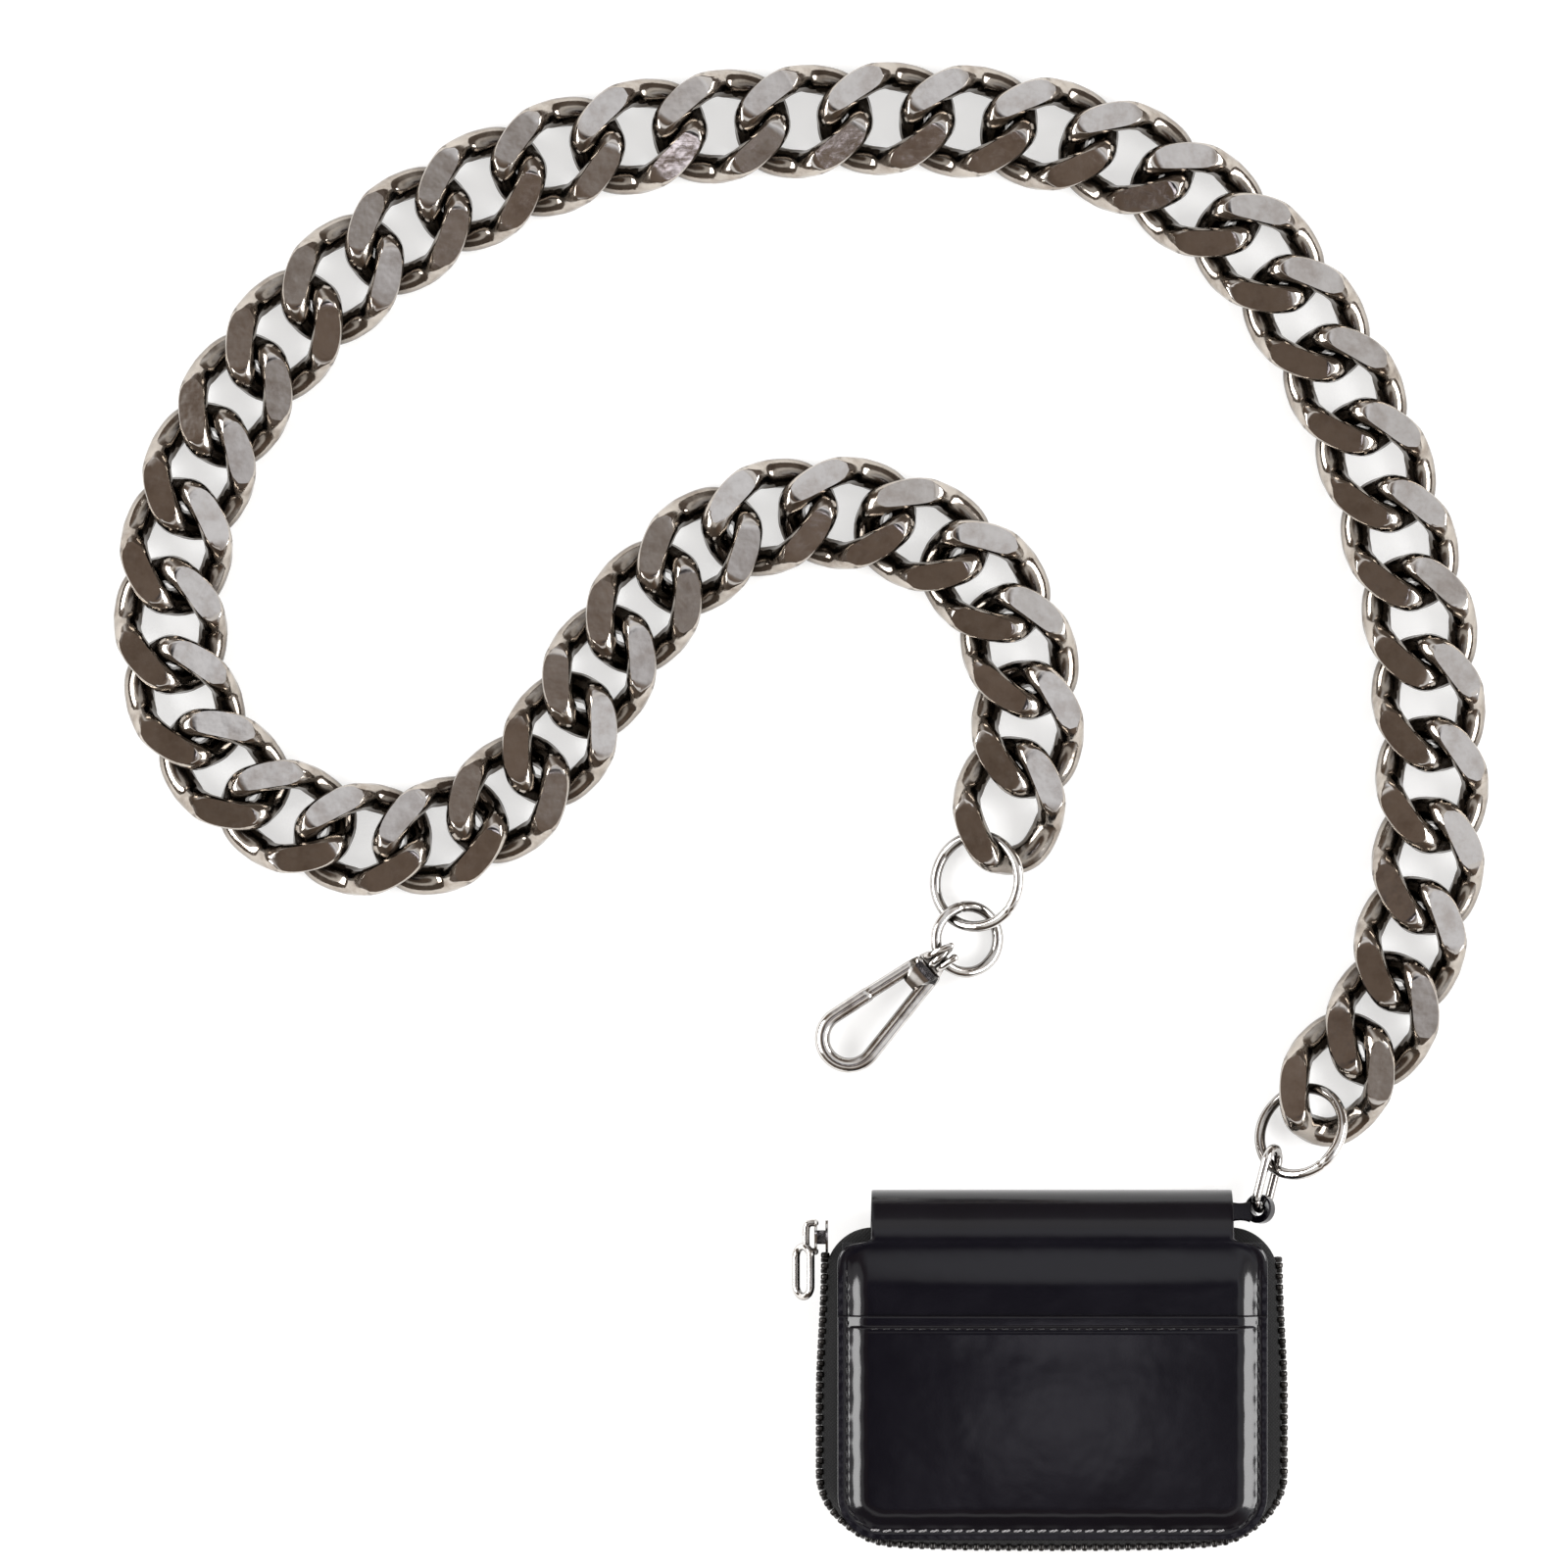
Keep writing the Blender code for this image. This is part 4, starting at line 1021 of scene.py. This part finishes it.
def build_slider():
    """Slider body with rounded cheeks and a bail; the pull is an oval wire link."""
    low, high = (np.array(v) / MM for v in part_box("zip_slider"))
    cx, cy, cz = -ZIP_HALF_WIDTH, (low[1] + high[1]) / 2, ZIP_MID_Z
    heap = Heap()
    for x_mid, half_z in ((cx - 1.35, 3.4), (cx + 1.35, 1.25)):
        sections = []
        for share in np.linspace(-1, 1, 15):
            squeeze = math.sqrt(max(0.0, 1 - abs(share) ** 3.2)) * 0.8 + 0.2
            taper = 1.0 + 0.12 * share
            sections.append([(x_mid + 0.33 * y, cy + 4.1 * share, cz + z) for y, z in
                             chamfered(1.0, half_z * squeeze * taper, 0.35)])
        heap.add(*loft(sections))
    heap.add(*loft([[(x, cy + y, cz + z) for y, z in chamfered(1.7, 0.42, 0.12)]
                    for x in (cx - 1.2, cx + 1.2)]))
    arch = [(cx - x, cy + y, cz) for x, y in ((1.5, 3.5), (2.8, 3.5), (3.5, 2.9), (3.75, 1.6),
                                              (3.75, -1.6), (3.5, -2.9), (2.8, -3.5), (1.5, -3.5))]
    heap.add(*tube(smooth_line(arch, 4), BAIL_WIRE, 14))
    heap.piece("slider_body", [STEEL], "slider", 35, ["zip_slider"])

    low, high = (np.array(v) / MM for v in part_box("zip_pull"))
    centre = (low + high) / 2 - (PULL_OUT, 0.0, 0.0)
    length = (high[1] - low[1]) / 2 - 0.6
    lean = math.radians(PULL_LEAN)
    across = np.array([math.sin(lean), 0.0, math.cos(lean)])
    path = ring_path(centre, PULL_R, np.array([0, 1.0, 0]), across, length - 2.6, 72, 0.4)
    verts, faces = tube(path, PULL_WIRE, 16, True)
    add_piece("pull_link", verts, faces, [STEEL], "pull", replaced=["zip_pull"])


def smooth_line(points, rounds):
    """Chaikin's corner cutting, ends kept."""
    points = np.asarray(points, dtype=float)
    for _ in range(rounds):
        a, b = points[:-1], points[1:]
        cut = np.empty((2 * len(a), points.shape[1]))
        cut[0::2] = 0.75 * a + 0.25 * b
        cut[1::2] = 0.25 * a + 0.75 * b
        points = np.concatenate([points[:1], cut, points[-1:]])
    return points


def build_loop():
    """Leather tab rolled round the oval link."""
    along, across = tilted(OVAL_DIRECTION, OVAL_TILT)
    normal = np.cross(along, across)
    centre = np.array(OVAL_CENTRE) - along * (OVAL_END_R + OVAL_STRETCH)
    rings = []
    for angle in np.linspace(0, 2 * np.pi, 40, endpoint=False):
        out = along * math.cos(angle) + normal * math.sin(angle)
        rings.append([centre + out * r + across * w for r, w in TAB_SECTION])
    heap = Heap()
    heap.add(np.array(rings).reshape(-1, 3),
             grid_faces(40, len(TAB_SECTION), wrap_rows=True, wrap_columns=True))
    sections = []
    for share in np.linspace(0, 1, 9):
        x = TAB_ROOT_X + (centre[0] - 2.4 - TAB_ROOT_X) * share
        half_y = 2.6 - 0.5 * math.sin(share * math.pi)
        sections.append([(x, centre[1] - 0.7 + y, centre[2] + z)
                         for y, z in chamfered(half_y, 1.5, 0.45)])
    heap.add(*loft(sections))
    heap.piece("leather_tab", [LEATHER], "back_half", 38, ["link_loop"])


# ---- Inside ----
INNER_CORNER = 8.0
INNER_COLUMNS = 50
NOTCH_HALF = 11.0
PLEAT_OUTER_X, PLEAT_FOLD_X = 45.2, 40.8


def inner_panel(name, node_name, body, mats, up, hem=False, crown=0.25, notch=0.0):
    """A sewn inner sheet the size of its CAD node: turned hem, thumb notch, soft middle."""
    low, high = (np.array(v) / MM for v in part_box(node_name))
    half = (high[0] - low[0]) / 2 - 0.05
    y_low, y_high = low[1] + 0.05, high[1] - 0.05
    rows = np.concatenate([y_low + np.array(EDGE_STEPS), np.linspace(y_low + 8.4, y_high - 5.0, 40),
                           y_high - np.array(EDGE_STEPS[::-1])[4:]])
    depth = np.clip(y_low + INNER_CORNER - rows, 0.0, INNER_CORNER)
    width = half - INNER_CORNER + np.sqrt(np.maximum(INNER_CORNER ** 2 - depth ** 2, 0.0))
    x = np.array([across_row(w, INNER_COLUMNS) for w in width])
    y = np.repeat(rows[:, None], x.shape[1], axis=1)
    dip = notch * np.exp(-(x / NOTCH_HALF) ** 2)
    y = y - dip * smoothstep(y, y_high - 14, y_high)
    edge = np.minimum(half - np.abs(x), y - y_low)
    z = -0.12 * (1 - smoothstep(edge, 0.0, 0.8)) - 0.08 * np.exp(-((edge - 1.5) / 0.4) ** 2)
    z = z + crown * 0.4 * (1 - (x / half) ** 2) * 0.3
    if hem:
        top = y_high - dip - y
        z = z - 0.16 * np.exp(-((top - 2.4) / 0.3) ** 2) - 0.1 * (1 - smoothstep(top, 0, 0.6))
    face = high[2] if up > 0 else low[2]
    sheet(name, np.stack([x, y, face + up * z - up * 0.02], axis=2), mats, body, [node_name],
          up, (high[2] - low[2]) * 0.75)
    if hem:
        line = dense_line([(-half + 2.5, y_high - 2.4), (half - 2.5, y_high - 2.4)], 0.5)
        line[:, 1] -= notch * np.exp(-(line[:, 0] / NOTCH_HALF) ** 2)
        stitches(name + "_stitches", line, lambda xs, ys: np.full(len(xs), face), body, 1.7, 0.16,
                 0.04, up, 2.4)


def build_inside():
    for half, up, count in (("back", 1.0, 3), ("front", -1.0, 2)):
        for number in range(1, count + 1):
            inner_panel("slot_%s_%d" % (half, number), "%s_card_slot_%d" % (half, number),
                        half + "_half", [LEATHER_IN, EDGE_PAINT], up, True, 0.1, 3.0)
    for half, up in (("back", 1.0), ("front", -1.0)):
        inner_panel("lining_cloth_" + half, half + "_lining", half + "_half", [LINING],
                    up)
    for half, up in (("back", -1.0), ("front", 1.0)):
        inner_panel("divider_" + half, "coin_divider_" + half, "back_half", [LINING, LEATHER_IN],
                    up, True)
    for side, name in ((-1, "gusset_left"), (1, "gusset_right")):
        build_gusset(side, name)


def build_gusset(side, node_name):
    """The pleated cloth that closes the coin pocket's side."""
    low, high = (np.array(v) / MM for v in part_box(node_name))
    z_mid = (low[2] + high[2]) / 2
    half = (high[2] - low[2]) / 2
    t = np.linspace(-1, 1, 19)
    section_x = PLEAT_OUTER_X - (PLEAT_OUTER_X - PLEAT_FOLD_X) * (1 - np.abs(t) ** 1.3)
    rows = []
    for y in np.linspace(low[1], high[1], 60):
        ripple = 0.18 * math.sin(y * 0.7) * (1 - np.abs(t))
        rows.append(np.stack([side * (section_x + ripple), np.full(len(t), y), z_mid + half * t], axis=1))
    verts = np.array(rows)
    obj = add_piece(node_name + "_cloth", verts.reshape(-1, 3), grid_faces(*verts.shape[:2]), [LINING],
                    "back_half", replaced=[node_name])
    solidify(obj, 0.5, offset=0.0)


# ---- Stage ----
CAMERA_X, CAMERA_Y = -0.0655, 0.1429
FRAME_WIDTH = 0.3837
CAMERA_RISE = 3.0
FOCUS_Z = 0.012
SENSOR = 36.0
FLOOR_GLOW = 0.62
STRIP_OUT, STRIP_Z = 1.35, 0.85
STRIP_POWER = 32
WINDOW_WAY = (0.78, 0.63, 0.0)
ROOM_STOPS = [
    (-1.0, (0.15, 0.12, 0.10)), (-0.6, (0.10, 0.08, 0.065)), (-0.34, (0.12, 0.088, 0.066)),
    (-0.16, (0.165, 0.122, 0.094)), (-0.06, (0.19, 0.145, 0.116)), (0.04, (0.30, 0.27, 0.25)),
    (0.12, (0.56, 0.55, 0.56)), (0.22, (0.84, 0.85, 0.88)), (0.34, (0.62, 0.61, 0.61)),
    (0.46, (0.30, 0.27, 0.25)), (0.64, (0.15, 0.12, 0.10)), (1.0, (0.13, 0.105, 0.09))]
BAND_STOPS = [(0.66, 0), (0.76, 1), (0.87, 1), (0.92, 0)]
GAP_STOPS = [(0.982, 0), (0.991, 1)]


def build_stage():
    bpy.ops.mesh.primitive_plane_add(size=6.0, location=(CAMERA_X, CAMERA_Y, -0.00005))
    floor = bpy.context.object
    floor.name = "floor"
    mat = new_material("floor_white", (0.5, 0.5, 0.5), 0.0, 0.9, Specular_IOR_Level=0.1,
                       Emission_Color=(1.0, 0.995, 0.985, 1.0), Emission_Strength=FLOOR_GLOW)
    floor.data.materials.append(mat)

    data = bpy.data.cameras.new("camera")
    data.sensor_width = SENSOR
    data.lens = SENSOR * CAMERA_RISE / FRAME_WIDTH
    data.clip_end = 20.0
    camera = bpy.data.objects.new("camera", data)
    camera.location = (CAMERA_X, CAMERA_Y, FOCUS_Z + CAMERA_RISE)
    bpy.context.collection.objects.link(camera)
    bpy.context.scene.camera = camera
    bpy.context.scene.view_settings.view_transform = "Standard"


def area_light(name, place, target, size, power, colour):
    data = bpy.data.lights.new(name, "AREA")
    data.shape = "RECTANGLE"
    data.size, data.size_y = size
    data.energy = power
    data.color = colour
    lamp = bpy.data.objects.new(name, data)
    lamp.location = place
    aim = Vector(target) - Vector(place)
    lamp.rotation_euler = aim.to_track_quat("-Z", "Y").to_euler()
    bpy.context.collection.objects.link(lamp)


def build_world():
    """A dim warm room with a bright patch to the back right, seen by each direction.

    The sideways ramp runs along WINDOW_WAY.  A pale band rings the room at mid height,
    and straight overhead is dark, so that level metal mirrors something dark.
    """
    world = bpy.data.worlds.new("room")
    bpy.context.scene.world = world
    world.use_nodes = True
    direction = node(world, "ShaderNodeTexCoord").outputs["Generated"]
    dot = node(world, "ShaderNodeVectorMath")
    dot.operation = "DOT_PRODUCT"
    dot.inputs[1].default_value = WINDOW_WAY
    link(world, direction, dot.inputs[0])
    split = node(world, "ShaderNodeSeparateXYZ")
    link(world, direction, split.inputs[0])
    colour = direction_ramp(world, dot.outputs["Value"], ROOM_STOPS)
    for stops, target in ((BAND_STOPS, (0.80, 0.78, 0.76)), (GAP_STOPS, (0.045, 0.042, 0.045))):
        share = direction_ramp(world, split.outputs["Z"], [(at, (v, v, v)) for at, v in stops])
        colour = mixed(world, share, colour, target)
    background = world.node_tree.nodes["Background"]
    link(world, colour, background.inputs["Color"])
    background.inputs["Strength"].default_value = 1.0


def direction_ramp(world, value, stops):
    """A colour ramp whose stops are given on a scale from -1 to 1."""
    return ramp(world, between(world, value, 0.0, 1.0, -1.0, 1.0),
                [((place + 1) / 2, colour) for place, colour in stops])


def build_lights():
    for name, side in (("strip_left", -1), ("strip_right", 1)):
        area_light(name, (CAMERA_X + side * STRIP_OUT, CAMERA_Y, STRIP_Z), (CAMERA_X, CAMERA_Y, 0.0),
                   (1.6, 0.6), STRIP_POWER, (1, 1, 1))
    area_light("overhead_glow", (0.10, -0.22, 3.4), (0.0, 0.0, 0.0), (0.3, 0.2), 0.3, (0.93, 0.9, 1.0))


places = link_places()
build_chain(places)
build_rings(places)
build_hook()
build_wrap()
build_pocket()
build_back()
build_stitches()
build_zip()
build_slider()
build_loop()
build_inside()
build_stage()
build_world()
build_lights()
